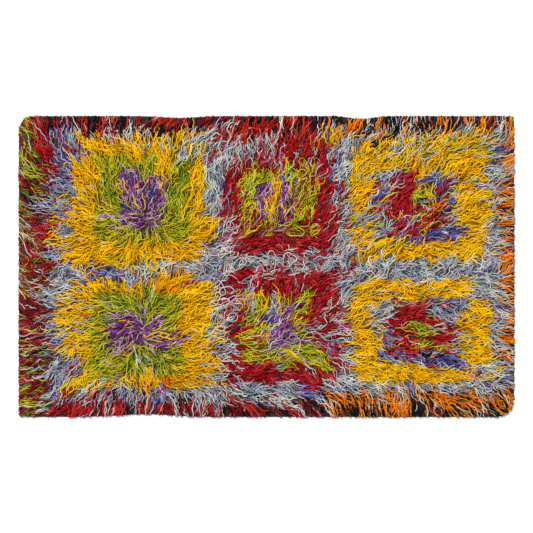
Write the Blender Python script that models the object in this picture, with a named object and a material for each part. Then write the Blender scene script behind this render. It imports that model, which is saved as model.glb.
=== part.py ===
"""Tulu rug: a shaggy hand-knotted rug of long wool yarn, laid flat.

Its pile is knotted into its woven ground, so the whole rug is one fabric and one solid: a
slab with a flat underside and a lumpy top, where the yarn is combed outwards from six
whorls, and locks of yarn that lie on the floor all round its rim.

Metres, +Z up. The origin is at the middle of the underside, and +X runs along the rug.
"""

import math
from typing import NamedTuple

import bmesh
import bpy
from mathutils import Vector, noise

NAME = "tulu_rug"

# The whole rug, over the tips of its locks.
RUG_LENGTH = 1.98
RUG_WIDTH = 1.204

# The slab inside the locks, as cells of its top. Each cell at the rim carries one lock.
CELLS_LONG = 72
CELLS_WIDE = 44

# The lying pile: its usual height, its height at the rim, and how far in it takes to rise.
PILE_HEIGHT = 0.027
RIM_HEIGHT = 0.015
RIM_RISE = 0.075
LOWEST_PILE = 0.012

# Lumps of the top: the swell of a whorl, the ridges that run out from its middle, the
# troughs between two whorls, and the tufts that stand up anywhere. A whorl's relief ends at
# WHORL_REACH times its half sides, and its ridges turn by RIDGE_TWIST on their way out.
SWELL = 0.006
RIDGE = 0.006
TROUGH = 0.005
WHORL_REACH = 1.25
RIDGE_TWIST = 5.0
TUFT = 0.009
TUFT_SPACING = 0.085
SMALL_TUFT = 0.005
SMALL_TUFT_SPACING = 0.045
RIM_LUMP_SHARE = 0.3

# A lock at the rim: how far it lies past the slab, the shortest as a share of that, the
# share of locks that are full length, and the place of its elbow. Its two sections, at the
# elbow and the tip, are its width as a share of its root's, and its height.
LOCK_REACH = 0.036
SHORTEST_LOCK = 0.55
FULL_LOCK_SHARE = 1 / 3
LOCK_SWAY = 0.12
LOCK_BEND = 0.07
LOCK_ELBOW = 0.5
LOCK_SECTIONS = ((0.62, 0.012), (0.28, 0.006))
UNBENT_AT_CORNER = 0.13
LOCK_NUMBER = "lock_number"

WOOL_COLOUR = (0.43, 0.21, 0.06, 1.0)
WOOL_ROUGHNESS = 0.95


class Whorl(NamedTuple):
    """A block of pile: its middle, its half sides, and how many ridges run out of it."""

    x: float
    y: float
    half_x: float
    half_y: float
    ridges: int


class Corner(NamedTuple):
    """A rounded corner of the outline: the signs of its x and y, and its radius."""

    side_x: int
    side_y: int
    radius: float


class Dip(NamedTuple):
    """A place where a long edge draws in: its side, place, depth and half length."""

    side_y: int
    x: float
    depth: float
    spread: float


class Lean(NamedTuple):
    """How far the locks of an edge lean along it for each metre of reach, end to end."""

    low: float
    high: float


WHORLS = (
    Whorl(x=-0.48, y=0.20, half_x=0.26, half_y=0.26, ridges=17),
    Whorl(x=0.03, y=0.15, half_x=0.23, half_y=0.20, ridges=15),
    Whorl(x=0.56, y=0.14, half_x=0.28, half_y=0.25, ridges=19),
    Whorl(x=-0.49, y=-0.25, half_x=0.33, half_y=0.24, ridges=19),
    Whorl(x=0.06, y=-0.29, half_x=0.24, half_y=0.24, ridges=15),
    Whorl(x=0.57, y=-0.27, half_x=0.30, half_y=0.23, ridges=17),
)

CORNERS = (
    Corner(side_x=-1, side_y=1, radius=0.055),
    Corner(side_x=1, side_y=1, radius=0.008),
    Corner(side_x=-1, side_y=-1, radius=0.016),
    Corner(side_x=1, side_y=-1, radius=0.072),
)

DIPS = (
    Dip(side_y=1, x=-0.345, depth=0.008, spread=0.080),
    Dip(side_y=1, x=0.380, depth=0.012, spread=0.060),
    Dip(side_y=-1, x=-0.485, depth=0.011, spread=0.140),
)

# Along +X on the long edges and along +Y on the short ones.
TOP_LEAN = Lean(low=-0.45, high=0.55)
BOTTOM_LEAN = Lean(low=-0.55, high=0.70)
LEFT_LEAN = Lean(low=-0.50, high=0.45)
RIGHT_LEAN = Lean(low=-0.60, high=0.45)


def clear_scene():
    """Remove every object that the file opened with."""
    for thing in list(bpy.data.objects):
        bpy.data.objects.remove(thing, do_unlink=True)


def rug_collection():
    """A collection named for the rug, linked to the scene."""
    collection = bpy.data.collections.new(NAME)
    bpy.context.scene.collection.children.link(collection)
    return collection


def wool_material():
    """Dull dyed wool, in the mean colour of the pile."""
    material = bpy.data.materials.new("wool_pile")
    material.use_nodes = True
    shader = material.node_tree.nodes["Principled BSDF"]
    shader.inputs["Base Color"].default_value = WOOL_COLOUR
    shader.inputs["Roughness"].default_value = WOOL_ROUGHNESS
    shader.inputs["Metallic"].default_value = 0.0
    return material


def between(low, high, share):
    """The value at this share of the way from low to high."""
    return low + (high - low) * share


def rounded(x, y, half_x, half_y):
    """Move a point of a half_x by half_y rectangle onto the one with rounded corners."""
    for corner in CORNERS:
        past_x = corner.side_x * x - (half_x - corner.radius)
        past_y = corner.side_y * y - (half_y - corner.radius)
        if past_x <= 0.0 or past_y <= 0.0:
            continue
        pull = max(past_x, past_y) / math.hypot(past_x, past_y)
        x = corner.side_x * (half_x - corner.radius + past_x * pull)
        y = corner.side_y * (half_y - corner.radius + past_y * pull)
    return x, y


def outline_point(u, v, inset):
    """The place of (u, v), each from -1 to 1, on the rug drawn in by inset all round."""
    half_x = RUG_LENGTH / 2 - inset
    half_y = RUG_WIDTH / 2 - inset
    x, y = rounded(u * half_x, v * half_y, half_x, half_y)
    for dip in DIPS:
        nearness = max(0.0, dip.side_y * v) ** 3
        y -= dip.side_y * dip.depth * nearness * math.exp(-(((x - dip.x) / dip.spread) ** 2))
    return x, y


def whorl_relief(x, y):
    """Height that the whorls add: their swell, their ridges and the troughs between them."""
    relief = -TROUGH
    for whorl in WHORLS:
        across = x - whorl.x
        up = y - whorl.y
        away = max(abs(across) / whorl.half_x, abs(up) / whorl.half_y)
        if away >= WHORL_REACH:
            continue
        way_out = math.pi * away / WHORL_REACH
        inside = 0.5 + 0.5 * math.cos(way_out)
        wave = math.sin(whorl.ridges * math.atan2(up, across) + RIDGE_TWIST * away)
        relief += (SWELL + TROUGH) * inside + RIDGE * math.sin(way_out) * wave
    return relief


def tuft_relief(x, y):
    """Height of the tufts, which stand up where the pile is thick."""
    broad = noise.noise(Vector((x, y, 0.0)) / TUFT_SPACING)
    small = noise.noise(Vector((x, y, 0.0)) / SMALL_TUFT_SPACING)
    return TUFT * broad + SMALL_TUFT * small


def pile_height(x, y, u, v):
    """Height of the slab's top at (x, y), which is (u, v) on its grid of cells."""
    from_rim = min((1.0 - abs(u)) * RUG_LENGTH, (1.0 - abs(v)) * RUG_WIDTH) / 2
    share = min(1.0, from_rim / RIM_RISE)
    rise = share * share * (3.0 - 2.0 * share)
    lumps = (whorl_relief(x, y) + tuft_relief(x, y)) * between(RIM_LUMP_SHARE, 1.0, rise)
    return max(LOWEST_PILE, between(RIM_HEIGHT, PILE_HEIGHT, rise) + lumps)


def shape_top(bm):
    """Make the grid the slab's top, and return the (u, v) of each of its points."""
    places = {}
    for vertex in bm.verts:
        u, v = vertex.co.x, vertex.co.y
        x, y = outline_point(u, v, LOCK_REACH)
        vertex.co = (x, y, pile_height(x, y, u, v))
        places[vertex] = (u, v)
    return places


def close_slab(bm, places):
    """Drop a wall from the rim to the floor, close the underside, return the wall's faces."""
    rim = [edge for edge in bm.edges if edge.is_boundary]
    made = bmesh.ops.extrude_edge_only(bm, edges=rim)["geom"]
    foot = [part for part in made if isinstance(part, bmesh.types.BMVert)]
    wall = [part for part in made if isinstance(part, bmesh.types.BMFace)]
    for vertex in foot:
        vertex.co.z = 0.0
    for vertex in foot:
        above = next(other for other in neighbours(vertex) if other.co.z > 0.0)
        places[vertex] = places[above]
    open_edges = [edge for edge in bm.edges if edge.is_boundary]
    bmesh.ops.triangle_fill(bm, edges=open_edges, use_beauty=True, use_dissolve=False)
    return sorted(wall, key=lambda face: grid_middle(face, places))


def neighbours(vertex):
    """The points that share an edge with this one."""
    return [edge.other_vert(vertex) for edge in vertex.link_edges]


def grid_middle(face, places):
    """The (u, v) at the middle of a wall face."""
    spots = [places[vertex] for vertex in face.verts]
    count = len(spots)
    return sum(spot[0] for spot in spots) / count, sum(spot[1] for spot in spots) / count


def on_long_edge(v):
    """Whether a place on the rim is on one of the two long edges."""
    return abs(v) > 1.0 - 1e-6


def edge_lean(u, v):
    """How far a lock at (u, v) leans along its edge for each metre of reach."""
    if on_long_edge(v):
        lean, along, half = (TOP_LEAN if v > 0 else BOTTOM_LEAN), u, RUG_LENGTH / 2
    else:
        lean, along, half = (RIGHT_LEAN if u > 0 else LEFT_LEAN), v, RUG_WIDTH / 2
    fade = min(1.0, (1.0 - abs(along)) * half / UNBENT_AT_CORNER)
    return fade * between(lean.low, lean.high, (along + 1) / 2)


def held(value):
    """The value kept between -1 and 1."""
    return max(-1.0, min(1.0, value))


def chance(index, draw):
    """A fixed value from 0 to 1 for this lock and this draw."""
    return noise.cell(Vector((index + 0.5, draw + 0.5, 0.5)))


def lock_spine(index, face, places):
    """Where the lock that grows from a wall face has its elbow and its tip."""
    u, v = grid_middle(face, places)
    root = Vector((*outline_point(u, v, LOCK_REACH), 0.0))
    length = between(SHORTEST_LOCK, 1.0, min(1.0, chance(index, 0) / (1 - FULL_LOCK_SHARE)))
    sway = between(-LOCK_SWAY, LOCK_SWAY, chance(index, 1))
    aside = LOCK_REACH * (edge_lean(u, v) + sway)
    if on_long_edge(v):
        u = held(u + 2 * aside / RUG_LENGTH)
    else:
        v = held(v + 2 * aside / RUG_WIDTH)
    tip = Vector((*outline_point(u, v, LOCK_REACH * (1.0 - length)), 0.0))
    bow = Vector((root.y - tip.y, tip.x - root.x, 0.0))
    bow *= between(-LOCK_BEND, LOCK_BEND, chance(index, 2))
    return root.lerp(tip, LOCK_ELBOW) + bow, tip


def set_section(face, middle, along, width, height):
    """Lay a lock's four-sided section at middle, with its lower side on the floor."""
    centre = sum((vertex.co for vertex in face.verts), Vector()) / len(face.verts)
    for vertex in face.verts:
        side = math.copysign(0.5, (vertex.co - centre).dot(along))
        top = height if vertex.co.z > centre.z else 0.0
        vertex.co = middle + along * side * width + Vector((0.0, 0.0, top))


def grow_locks(bm, wall, places):
    """Draw each face of the wall out into a tapering lock that lies on the floor."""
    number = bm.faces.layers.int[LOCK_NUMBER]
    spines = []
    alongs = []
    widths = []
    for index, face in enumerate(wall):
        face[number] = index
        foot = [vertex.co.copy() for vertex in face.verts if vertex.co.z == 0.0]
        spines.append(lock_spine(index, face, places))
        alongs.append((foot[1] - foot[0]).normalized())
        widths.append((foot[1] - foot[0]).length)
    faces = wall
    for stop, (share, height) in enumerate(LOCK_SECTIONS):
        drawn = bmesh.ops.extrude_discrete_faces(bm, faces=faces)["faces"]
        faces = sorted(drawn, key=lambda face: face[number])
        for index, face in enumerate(faces):
            set_section(face, spines[index][stop], alongs[index], widths[index] * share, height)


def centre_on_floor(bm):
    """Move the rug so that its box stands on the floor about the origin."""
    xs = [vertex.co.x for vertex in bm.verts]
    ys = [vertex.co.y for vertex in bm.verts]
    shift = Vector((-(min(xs) + max(xs)) / 2, -(min(ys) + max(ys)) / 2, 0.0))
    bmesh.ops.translate(bm, verts=bm.verts, vec=shift)


def rug_mesh():
    """The whole rug as one closed mesh."""
    bm = bmesh.new()
    bm.faces.layers.int.new(LOCK_NUMBER)
    bmesh.ops.create_grid(bm, x_segments=CELLS_LONG, y_segments=CELLS_WIDE, size=1.0)
    places = shape_top(bm)
    wall = close_slab(bm, places)
    grow_locks(bm, wall, places)
    centre_on_floor(bm)
    bmesh.ops.recalc_face_normals(bm, faces=bm.faces)
    mesh = bpy.data.meshes.new(NAME)
    bm.to_mesh(mesh)
    bm.free()
    return mesh


def build_rug():
    """The rug's object, in its collection, with its wool."""
    mesh = rug_mesh()
    mesh.materials.append(wool_material())
    rug = bpy.data.objects.new(NAME, mesh)
    rug_collection().objects.link(rug)
    mesh.shade_smooth()


clear_scene()
build_rug()
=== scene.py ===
"""Looks of the tulu rug: a dark woven ground with a long wool pile, laid flat.

The pile is hand-spun yarn, knotted in six blocks of nested squares and combed outwards from
the eye of each block. Every length of yarn that shows is modelled, and lies on a bed of
matted pile. Metres, +Z up, in the frame's own axes: +X runs along the rug.
"""

import logging
import math
from dataclasses import dataclass, field
from enum import Enum

import bpy
import numpy as np
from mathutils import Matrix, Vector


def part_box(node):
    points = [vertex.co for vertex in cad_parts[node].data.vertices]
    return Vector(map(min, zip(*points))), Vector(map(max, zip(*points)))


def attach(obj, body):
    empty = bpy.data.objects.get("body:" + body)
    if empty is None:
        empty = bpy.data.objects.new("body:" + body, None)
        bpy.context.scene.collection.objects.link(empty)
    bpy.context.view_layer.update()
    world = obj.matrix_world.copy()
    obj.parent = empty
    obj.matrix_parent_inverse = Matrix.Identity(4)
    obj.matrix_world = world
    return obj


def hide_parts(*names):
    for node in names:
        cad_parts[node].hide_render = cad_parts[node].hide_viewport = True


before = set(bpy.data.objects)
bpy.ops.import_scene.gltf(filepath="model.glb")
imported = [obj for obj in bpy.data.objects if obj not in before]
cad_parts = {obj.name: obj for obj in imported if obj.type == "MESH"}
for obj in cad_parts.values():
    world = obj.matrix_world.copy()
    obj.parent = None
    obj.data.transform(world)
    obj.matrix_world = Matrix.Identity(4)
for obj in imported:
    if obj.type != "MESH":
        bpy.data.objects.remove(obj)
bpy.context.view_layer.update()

LOG = logging.getLogger("tulu_rug")
NODE = "tulu_rug"
BODY = "root"
SEED = 71

# No length is divided by less than this.
TINY = 1e-9

# The headings round a block, the sides of a yarn, and a place past every edge of the rug.
WAYS = 8
SIDES = 3
OUT = 2.0

# A place on a row of values stays this far short of their count, so that a value follows it.
SHORT_OF_END = 1.001

Array = np.ndarray
Colour = tuple[int, int, int]


class Wool(Enum):
    """The dyed and natural yarns of the pile."""

    GOLD = "gold"
    AMBER = "amber"
    ORANGE = "orange"
    SCARLET = "scarlet"
    CRIMSON = "crimson"
    MAROON = "maroon"
    LIME = "lime"
    LEAF = "leaf"
    VIOLET = "violet"
    LILAC = "lilac"
    INDIGO = "indigo"
    SLATE = "slate"
    IVORY = "ivory"
    BLACK = "black"


WOOLS = tuple(Wool)
Mix = dict[Wool, float]


def linear(colour: Colour) -> tuple[float, float, float, float]:
    """Turn a display colour into the linear values that a shader takes.

    Args:
        colour: Red, green and blue from 0 to 255.

    Returns:
        The linear red, green and blue, and an alpha of 1.
    """
    shares = [part / 255 for part in colour]
    values = [s / 12.92 if s <= 0.04045 else ((s + 0.055) / 1.055) ** 2.4 for s in shares]
    return values[0], values[1], values[2], 1.0


def eased(share: Array) -> Array:
    """Ease a share from 0 to 1 in and out, and hold it outside that range."""
    share = np.clip(share, 0.0, 1.0)
    return share * share * (3.0 - 2.0 * share)


def unit(x: Array, y: Array) -> tuple[Array, Array]:
    """Bring some vectors to a length of 1."""
    size = np.maximum(np.hypot(x, y), TINY)
    return x / size, y / size


@dataclass
class Drift:
    """Smooth random values from -1 to 1 over the rug, which change over a given spacing."""

    spacing: float
    rng: np.random.Generator
    reach: float = 1.3
    spare: int = 3
    values: Array = field(init=False)

    def __post_init__(self) -> None:
        """Draw the values at the crossings of a square net, with some to spare past its reach."""
        count = int(2 * self.reach / self.spacing) + self.spare
        self.values = self.rng.uniform(-1.0, 1.0, (count, count))

    def at(self, x: Array, y: Array) -> Array:
        """Read the values at some places.

        Args:
            x: Places along the rug.
            y: Places across the rug.

        Returns:
            One value for each place.
        """
        top = len(self.values) - SHORT_OF_END
        across = np.clip((x + self.reach) / self.spacing, 0.0, top)
        up = np.clip((y + self.reach) / self.spacing, 0.0, top)
        i, j = across.astype(int), up.astype(int)
        a, b = eased(across - i), eased(up - j)
        low = self.values[i, j] * (1 - a) + self.values[i + 1, j] * a
        high = self.values[i, j + 1] * (1 - a) + self.values[i + 1, j + 1] * a
        return low * (1 - b) + high * b


@dataclass(frozen=True)
class Corner:
    """A rounded corner of the rug: the signs of its x and y, and its radius."""

    side_x: int
    side_y: int
    radius: float


@dataclass(frozen=True)
class Dip:
    """A place where a long edge draws in: its side, place, depth and half length."""

    side_y: int
    x: float
    depth: float
    spread: float


@dataclass(frozen=True)
class Outline:
    """The outline of the rug over the tips of its yarn, with its uneven corners and edges."""

    half_x: float
    half_y: float
    corners: tuple[Corner, ...] = (
        Corner(side_x=-1, side_y=1, radius=0.055),
        Corner(side_x=1, side_y=1, radius=0.008),
        Corner(side_x=-1, side_y=-1, radius=0.016),
        Corner(side_x=1, side_y=-1, radius=0.072),
    )
    dips: tuple[Dip, ...] = (
        Dip(side_y=1, x=-0.345, depth=0.008, spread=0.080),
        Dip(side_y=1, x=0.380, depth=0.012, spread=0.060),
        Dip(side_y=-1, x=-0.485, depth=0.011, spread=0.140),
    )
    dip_power: int = 3

    def draw_in(self, x: Array, v: Array) -> Array:
        """Find how far the dips move some points across the rug.

        Args:
            x: Places along the rug.
            v: Shares of the half width, from -1 to 1.

        Returns:
            The move in Y of each point.
        """
        shift = np.zeros_like(x)
        for dip in self.dips:
            nearness = np.clip(dip.side_y * v, 0.0, None) ** self.dip_power
            shift -= dip.side_y * dip.depth * nearness * np.exp(-(((x - dip.x) / dip.spread) ** 2))
        return shift

    def place(self, u: Array, v: Array, inset: float) -> tuple[Array, Array]:
        """Find points of the rug drawn in by an inset all round.

        Args:
            u: Shares of the half length, from -1 to 1.
            v: Shares of the half width, from -1 to 1.
            inset: How far in from the outline the shares reach.

        Returns:
            The x and the y of each point.
        """
        half_x, half_y = self.half_x - inset, self.half_y - inset
        x, y = u * half_x, v * half_y
        for corner in self.corners:
            past_x = corner.side_x * x - (half_x - corner.radius)
            past_y = corner.side_y * y - (half_y - corner.radius)
            out = (past_x > 0.0) & (past_y > 0.0)
            pull = np.maximum(past_x, past_y) / np.maximum(np.hypot(past_x, past_y), TINY)
            x = np.where(out, corner.side_x * (half_x - corner.radius + past_x * pull), x)
            y = np.where(out, corner.side_y * (half_y - corner.radius + past_y * pull), y)
        return x, y + self.draw_in(x, v)

    def depth(self, x: Array, y: Array) -> Array:
        """Find how far inside the outline some points are.

        Args:
            x: Places along the rug.
            y: Places across the rug.

        Returns:
            The distance in from the outline, below 0 outside it.
        """
        flat_y = y - self.draw_in(x, y / self.half_y)
        inside = np.minimum(self.half_x - np.abs(x), self.half_y - np.abs(flat_y))
        for corner in self.corners:
            past_x = corner.side_x * x - (self.half_x - corner.radius)
            past_y = corner.side_y * flat_y - (self.half_y - corner.radius)
            out = (past_x > 0.0) & (past_y > 0.0)
            inside = np.where(out, corner.radius - np.hypot(past_x, past_y), inside)
        return inside


@dataclass(frozen=True)
class Square:
    """A square of the pattern: its sides, and the yarns knotted in it by share."""

    left: float
    right: float
    near: float
    far: float
    mix: Mix

    def depth(self, x: Array, y: Array) -> Array:
        """Find how far inside the square some points are, below 0 outside it."""
        across = np.minimum(x - self.left, self.right - x)
        return np.minimum(across, np.minimum(y - self.near, self.far - y))


@dataclass(frozen=True)
class Area:
    """An oval area of other yarn in the pattern.

    It holds its middle, its half length and half width, the turn of its length from +X in
    degrees, its yarns, and the share of the strands in it that take them.
    """

    x: float
    y: float
    half_long: float
    half_wide: float
    turn: float
    mix: Mix
    share: float = 1.0

    def depth(self, x: Array, y: Array) -> Array:
        """Find about how far inside the area some points are.

        Args:
            x: Places along the rug.
            y: Places across the rug.

        Returns:
            The distance in from the area's rim, below 0 outside it.
        """
        cosine, sine = math.cos(math.radians(self.turn)), math.sin(math.radians(self.turn))
        dx, dy = x - self.x, y - self.y
        along, across = dx * cosine + dy * sine, dy * cosine - dx * sine
        return (1.0 - np.hypot(along / self.half_long, across / self.half_wide)) * self.half_wide


@dataclass(frozen=True)
class Block:
    """A block of the pattern, combed outwards from its eye.

    Its reach is the ground whose pile follows it. The headings are in degrees from +X: first
    for the pile to the east of the eye, then to the north-east, and on round.
    """

    name: str
    eye: tuple[float, float]
    left: float
    right: float
    near: float
    far: float
    headings: tuple[float, float, float, float, float, float, float, float]
    squares: tuple[Square, ...]
    areas: tuple[Area, ...]

    def away(self, x: Array, y: Array) -> Array:
        """Find how far out in the block's reach some points are.

        Args:
            x: Places along the rug.
            y: Places across the rug.

        Returns:
            A share for each point: 0 at the middle of the reach, 1 at its rim.
        """
        across = np.abs(x - (self.left + self.right) / 2) / ((self.right - self.left) / 2)
        up = np.abs(y - (self.near + self.far) / 2) / ((self.far - self.near) / 2)
        return np.maximum(across, up)

    def heading(self, x: Array, y: Array) -> tuple[Array, Array]:
        """Find the way in which this block combs the pile.

        Args:
            x: Places along the rug.
            y: Places across the rug.

        Returns:
            The x and the y of a unit vector for each place.
        """
        dx, dy = x - self.eye[0], y - self.eye[1]
        turn = np.arctan2(dy, dx) / (math.tau / WAYS) % WAYS
        low = turn.astype(int) % WAYS
        high = (low + 1) % WAYS
        share = eased(turn - np.floor(turn))
        angles = np.radians(self.headings)
        cosine = np.cos(angles[low]) * (1 - share) + np.cos(angles[high]) * share
        sine = np.sin(angles[low]) * (1 - share) + np.sin(angles[high]) * share
        return unit(cosine, sine)


@dataclass(frozen=True)
class EdgeComb:
    """How the pile lies along one edge: places along it, and the heading at each."""

    side_x: int
    side_y: int
    places: tuple[float, ...]
    headings: tuple[float, ...]

    def heading(self, along: Array) -> tuple[Array, Array]:
        """Find the way in which the pile is combed along the edge.

        Args:
            along: Places along the edge.

        Returns:
            The x and the y of a unit vector for each place.
        """
        angles = np.radians(self.headings)
        cosine = np.interp(along, self.places, np.cos(angles))
        sine = np.interp(along, self.places, np.sin(angles))
        return unit(cosine, sine)


def blend(**shares: float) -> Mix:
    """Name a mix of yarns by their names in Wool and their shares."""
    return {Wool[name]: share for name, share in shares.items()}


GOLD_MIX = blend(GOLD=0.86, AMBER=0.08, LIME=0.02, SLATE=0.02, IVORY=0.02)
DEEP_GOLD_MIX = blend(GOLD=0.60, AMBER=0.32, LIME=0.04, SLATE=0.02, ORANGE=0.02)
PALE_GOLD_MIX = blend(GOLD=0.50, IVORY=0.18, SLATE=0.14, LIME=0.10, AMBER=0.04, ORANGE=0.04)
LIME_MIX = blend(LIME=0.72, LEAF=0.19, GOLD=0.05, LILAC=0.03, IVORY=0.01)
LEAF_MIX = blend(LEAF=0.36, LIME=0.55, GOLD=0.05, MAROON=0.02, LILAC=0.02)
CITRON_MIX = blend(LIME=0.60, CRIMSON=0.17, LEAF=0.05, GOLD=0.12, LILAC=0.03, IVORY=0.03)
MOSS_MIX = blend(LEAF=0.42, LIME=0.24, SLATE=0.14, LILAC=0.12, IVORY=0.08)
VIOLET_MIX = blend(VIOLET=0.54, LILAC=0.22, INDIGO=0.09, LIME=0.05, GOLD=0.05, MAROON=0.02, IVORY=0.03)
LILAC_MIX = blend(LILAC=0.34, VIOLET=0.27, LIME=0.14, GOLD=0.11, INDIGO=0.09, IVORY=0.05)
CRIMSON_MIX = blend(CRIMSON=0.87, MAROON=0.07, IVORY=0.04, SLATE=0.02)
FADED_MIX = blend(CRIMSON=0.54, SCARLET=0.14, IVORY=0.14, SLATE=0.08, ORANGE=0.04, MAROON=0.06)
PINK_MIX = blend(IVORY=0.48, CRIMSON=0.20, SLATE=0.14, SCARLET=0.10, LILAC=0.08)
DUSK_MIX = blend(SLATE=0.36, INDIGO=0.28, IVORY=0.13, GOLD=0.11, LILAC=0.05, CRIMSON=0.04, BLACK=0.03)
INDIGO_MIX = blend(INDIGO=0.56, SLATE=0.22, LILAC=0.08, IVORY=0.06, CRIMSON=0.04, BLACK=0.04)
EMBER_MIX = blend(CRIMSON=0.58, MAROON=0.07, LIME=0.13, INDIGO=0.09, IVORY=0.05, LILAC=0.03, ORANGE=0.05)
GRID_MIX = blend(IVORY=0.55, SLATE=0.36, INDIGO=0.05, LILAC=0.04)
ASH_RED_MIX = blend(IVORY=0.42, SLATE=0.26, CRIMSON=0.24, LILAC=0.04, INDIGO=0.04)
ASH_GOLD_MIX = blend(IVORY=0.44, SLATE=0.22, GOLD=0.27, INDIGO=0.04, CRIMSON=0.03)
SLATE_MIX = blend(SLATE=0.50, IVORY=0.18, INDIGO=0.14, CRIMSON=0.12, LILAC=0.06)
DULL_GRID_MIX = blend(SLATE=0.48, IVORY=0.28, INDIGO=0.12, CRIMSON=0.05, LILAC=0.03, BLACK=0.04)
MAROON_MIX = blend(MAROON=0.44, CRIMSON=0.17, LEAF=0.13, LIME=0.09, IVORY=0.08, SLATE=0.06, BLACK=0.03)
OLIVE_MIX = blend(MAROON=0.36, LEAF=0.28, LIME=0.15, CRIMSON=0.10, SCARLET=0.04, IVORY=0.04, BLACK=0.03)
RED_EDGE_MIX = blend(CRIMSON=0.14, SCARLET=0.12, MAROON=0.22, BLACK=0.44, IVORY=0.05, SLATE=0.03)
RED_FOOT_MIX = blend(CRIMSON=0.40, SCARLET=0.12, MAROON=0.18, BLACK=0.10, IVORY=0.14, SLATE=0.06)
SCARLET_MIX = blend(SCARLET=0.54, CRIMSON=0.20, MAROON=0.06, IVORY=0.04, BLACK=0.16)
ORANGE_EDGE_MIX = blend(ORANGE=0.24, BLACK=0.60, IVORY=0.04, MAROON=0.06, SLATE=0.06)
ORANGE_HEM_MIX = blend(ORANGE=0.38, BLACK=0.48, IVORY=0.06, MAROON=0.04, SLATE=0.04)
ORANGE_FOOT_MIX = blend(ORANGE=0.68, BLACK=0.20, IVORY=0.09, MAROON=0.03)
ORANGE_MIX = blend(ORANGE=0.84, IVORY=0.08, MAROON=0.04, BLACK=0.04)
HAZE_MIX = blend(IVORY=0.28, SLATE=0.20, GOLD=0.18, ORANGE=0.22, LIME=0.06, BLACK=0.06)
RUST_MIX = blend(ORANGE=0.56, IVORY=0.15, SLATE=0.13, GOLD=0.05, MAROON=0.06, BLACK=0.05)

GROUND_SQUARES = (
    Square(left=-OUT, right=OUT, near=-OUT, far=OUT, mix=GRID_MIX),
    Square(left=-OUT, right=0.27, near=0.53, far=OUT, mix=RED_EDGE_MIX),
    Square(left=0.22, right=OUT, near=0.48, far=0.56, mix=HAZE_MIX),
    Square(left=0.27, right=OUT, near=0.55, far=OUT, mix=ORANGE_EDGE_MIX),
    Square(left=-0.75, right=0.30, near=-OUT, far=-0.46, mix=DULL_GRID_MIX),
    Square(left=-OUT, right=0.24, near=-OUT, far=-0.54, mix=RED_FOOT_MIX),
    Square(left=0.24, right=OUT, near=-OUT, far=-0.50, mix=ORANGE_FOOT_MIX),
    Square(left=-0.24, right=0.24, near=-OUT, far=-0.56, mix=RED_EDGE_MIX),
    Square(left=0.24, right=OUT, near=-OUT, far=-0.56, mix=ORANGE_HEM_MIX),
    Square(left=-0.87, right=-0.75, near=-0.54, far=0.55, mix=SLATE_MIX),
    Square(left=-OUT, right=-0.87, near=-OUT, far=OUT, mix=MAROON_MIX),
    Square(left=-OUT, right=-0.91, near=0.22, far=OUT, mix=OLIVE_MIX),
    Square(left=-OUT, right=-0.91, near=-OUT, far=-0.46, mix=OLIVE_MIX),
    Square(left=0.94, right=OUT, near=-OUT, far=0.54, mix=RUST_MIX),
    Square(left=0.89, right=0.94, near=-0.50, far=-0.05, mix=DULL_GRID_MIX),
)

GROUND_AREAS = (
    Area(x=-0.23, y=0.49, half_long=0.14, half_wide=0.06, turn=30, mix=PINK_MIX),
    Area(x=-0.06, y=0.54, half_long=0.12, half_wide=0.03, turn=10, mix=SCARLET_MIX),
    Area(x=0.12, y=0.54, half_long=0.06, half_wide=0.06, turn=0, mix=SCARLET_MIX),
    Area(x=0.11, y=0.47, half_long=0.13, half_wide=0.06, turn=0, mix=FADED_MIX),
    Area(x=0.31, y=0.45, half_long=0.08, half_wide=0.03, turn=85, mix=GRID_MIX),
    Area(x=-0.80, y=0.44, half_long=0.05, half_wide=0.04, turn=0, mix=DUSK_MIX),
    Area(x=-0.66, y=-0.02, half_long=0.09, half_wide=0.03, turn=0, mix=DUSK_MIX),
    Area(x=-0.47, y=-0.01, half_long=0.10, half_wide=0.04, turn=0, mix=ASH_GOLD_MIX),
    Area(x=0.14, y=0.03, half_long=0.16, half_wide=0.04, turn=10, mix=ASH_RED_MIX),
    Area(x=0.31, y=0.24, half_long=0.10, half_wide=0.03, turn=90, mix=ASH_RED_MIX),
    Area(x=0.31, y=-0.26, half_long=0.18, half_wide=0.05, turn=90, mix=ASH_RED_MIX),
    Area(x=0.91, y=0.44, half_long=0.12, half_wide=0.04, turn=80, mix=GRID_MIX),
    Area(x=0.98, y=0.44, half_long=0.11, half_wide=0.02, turn=90, mix=ORANGE_MIX),
    Area(x=-0.88, y=0.47, half_long=0.11, half_wide=0.03, turn=-70, mix=CRIMSON_MIX, share=0.8),
    Area(x=-0.90, y=0.25, half_long=0.08, half_wide=0.02, turn=0, mix=GRID_MIX, share=0.8),
    Area(x=-0.89, y=0.14, half_long=0.05, half_wide=0.04, turn=0, mix=CRIMSON_MIX, share=0.8),
    Area(x=0.97, y=-0.25, half_long=0.06, half_wide=0.03, turn=90, mix=ORANGE_MIX),
    Area(x=0.93, y=-0.42, half_long=0.07, half_wide=0.05, turn=0, mix=DULL_GRID_MIX),
    Area(x=-0.70, y=-0.56, half_long=0.16, half_wide=0.03, turn=5, mix=CRIMSON_MIX, share=0.7),
    Area(x=0.06, y=-0.54, half_long=0.08, half_wide=0.02, turn=-20, mix=PINK_MIX),
)

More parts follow.
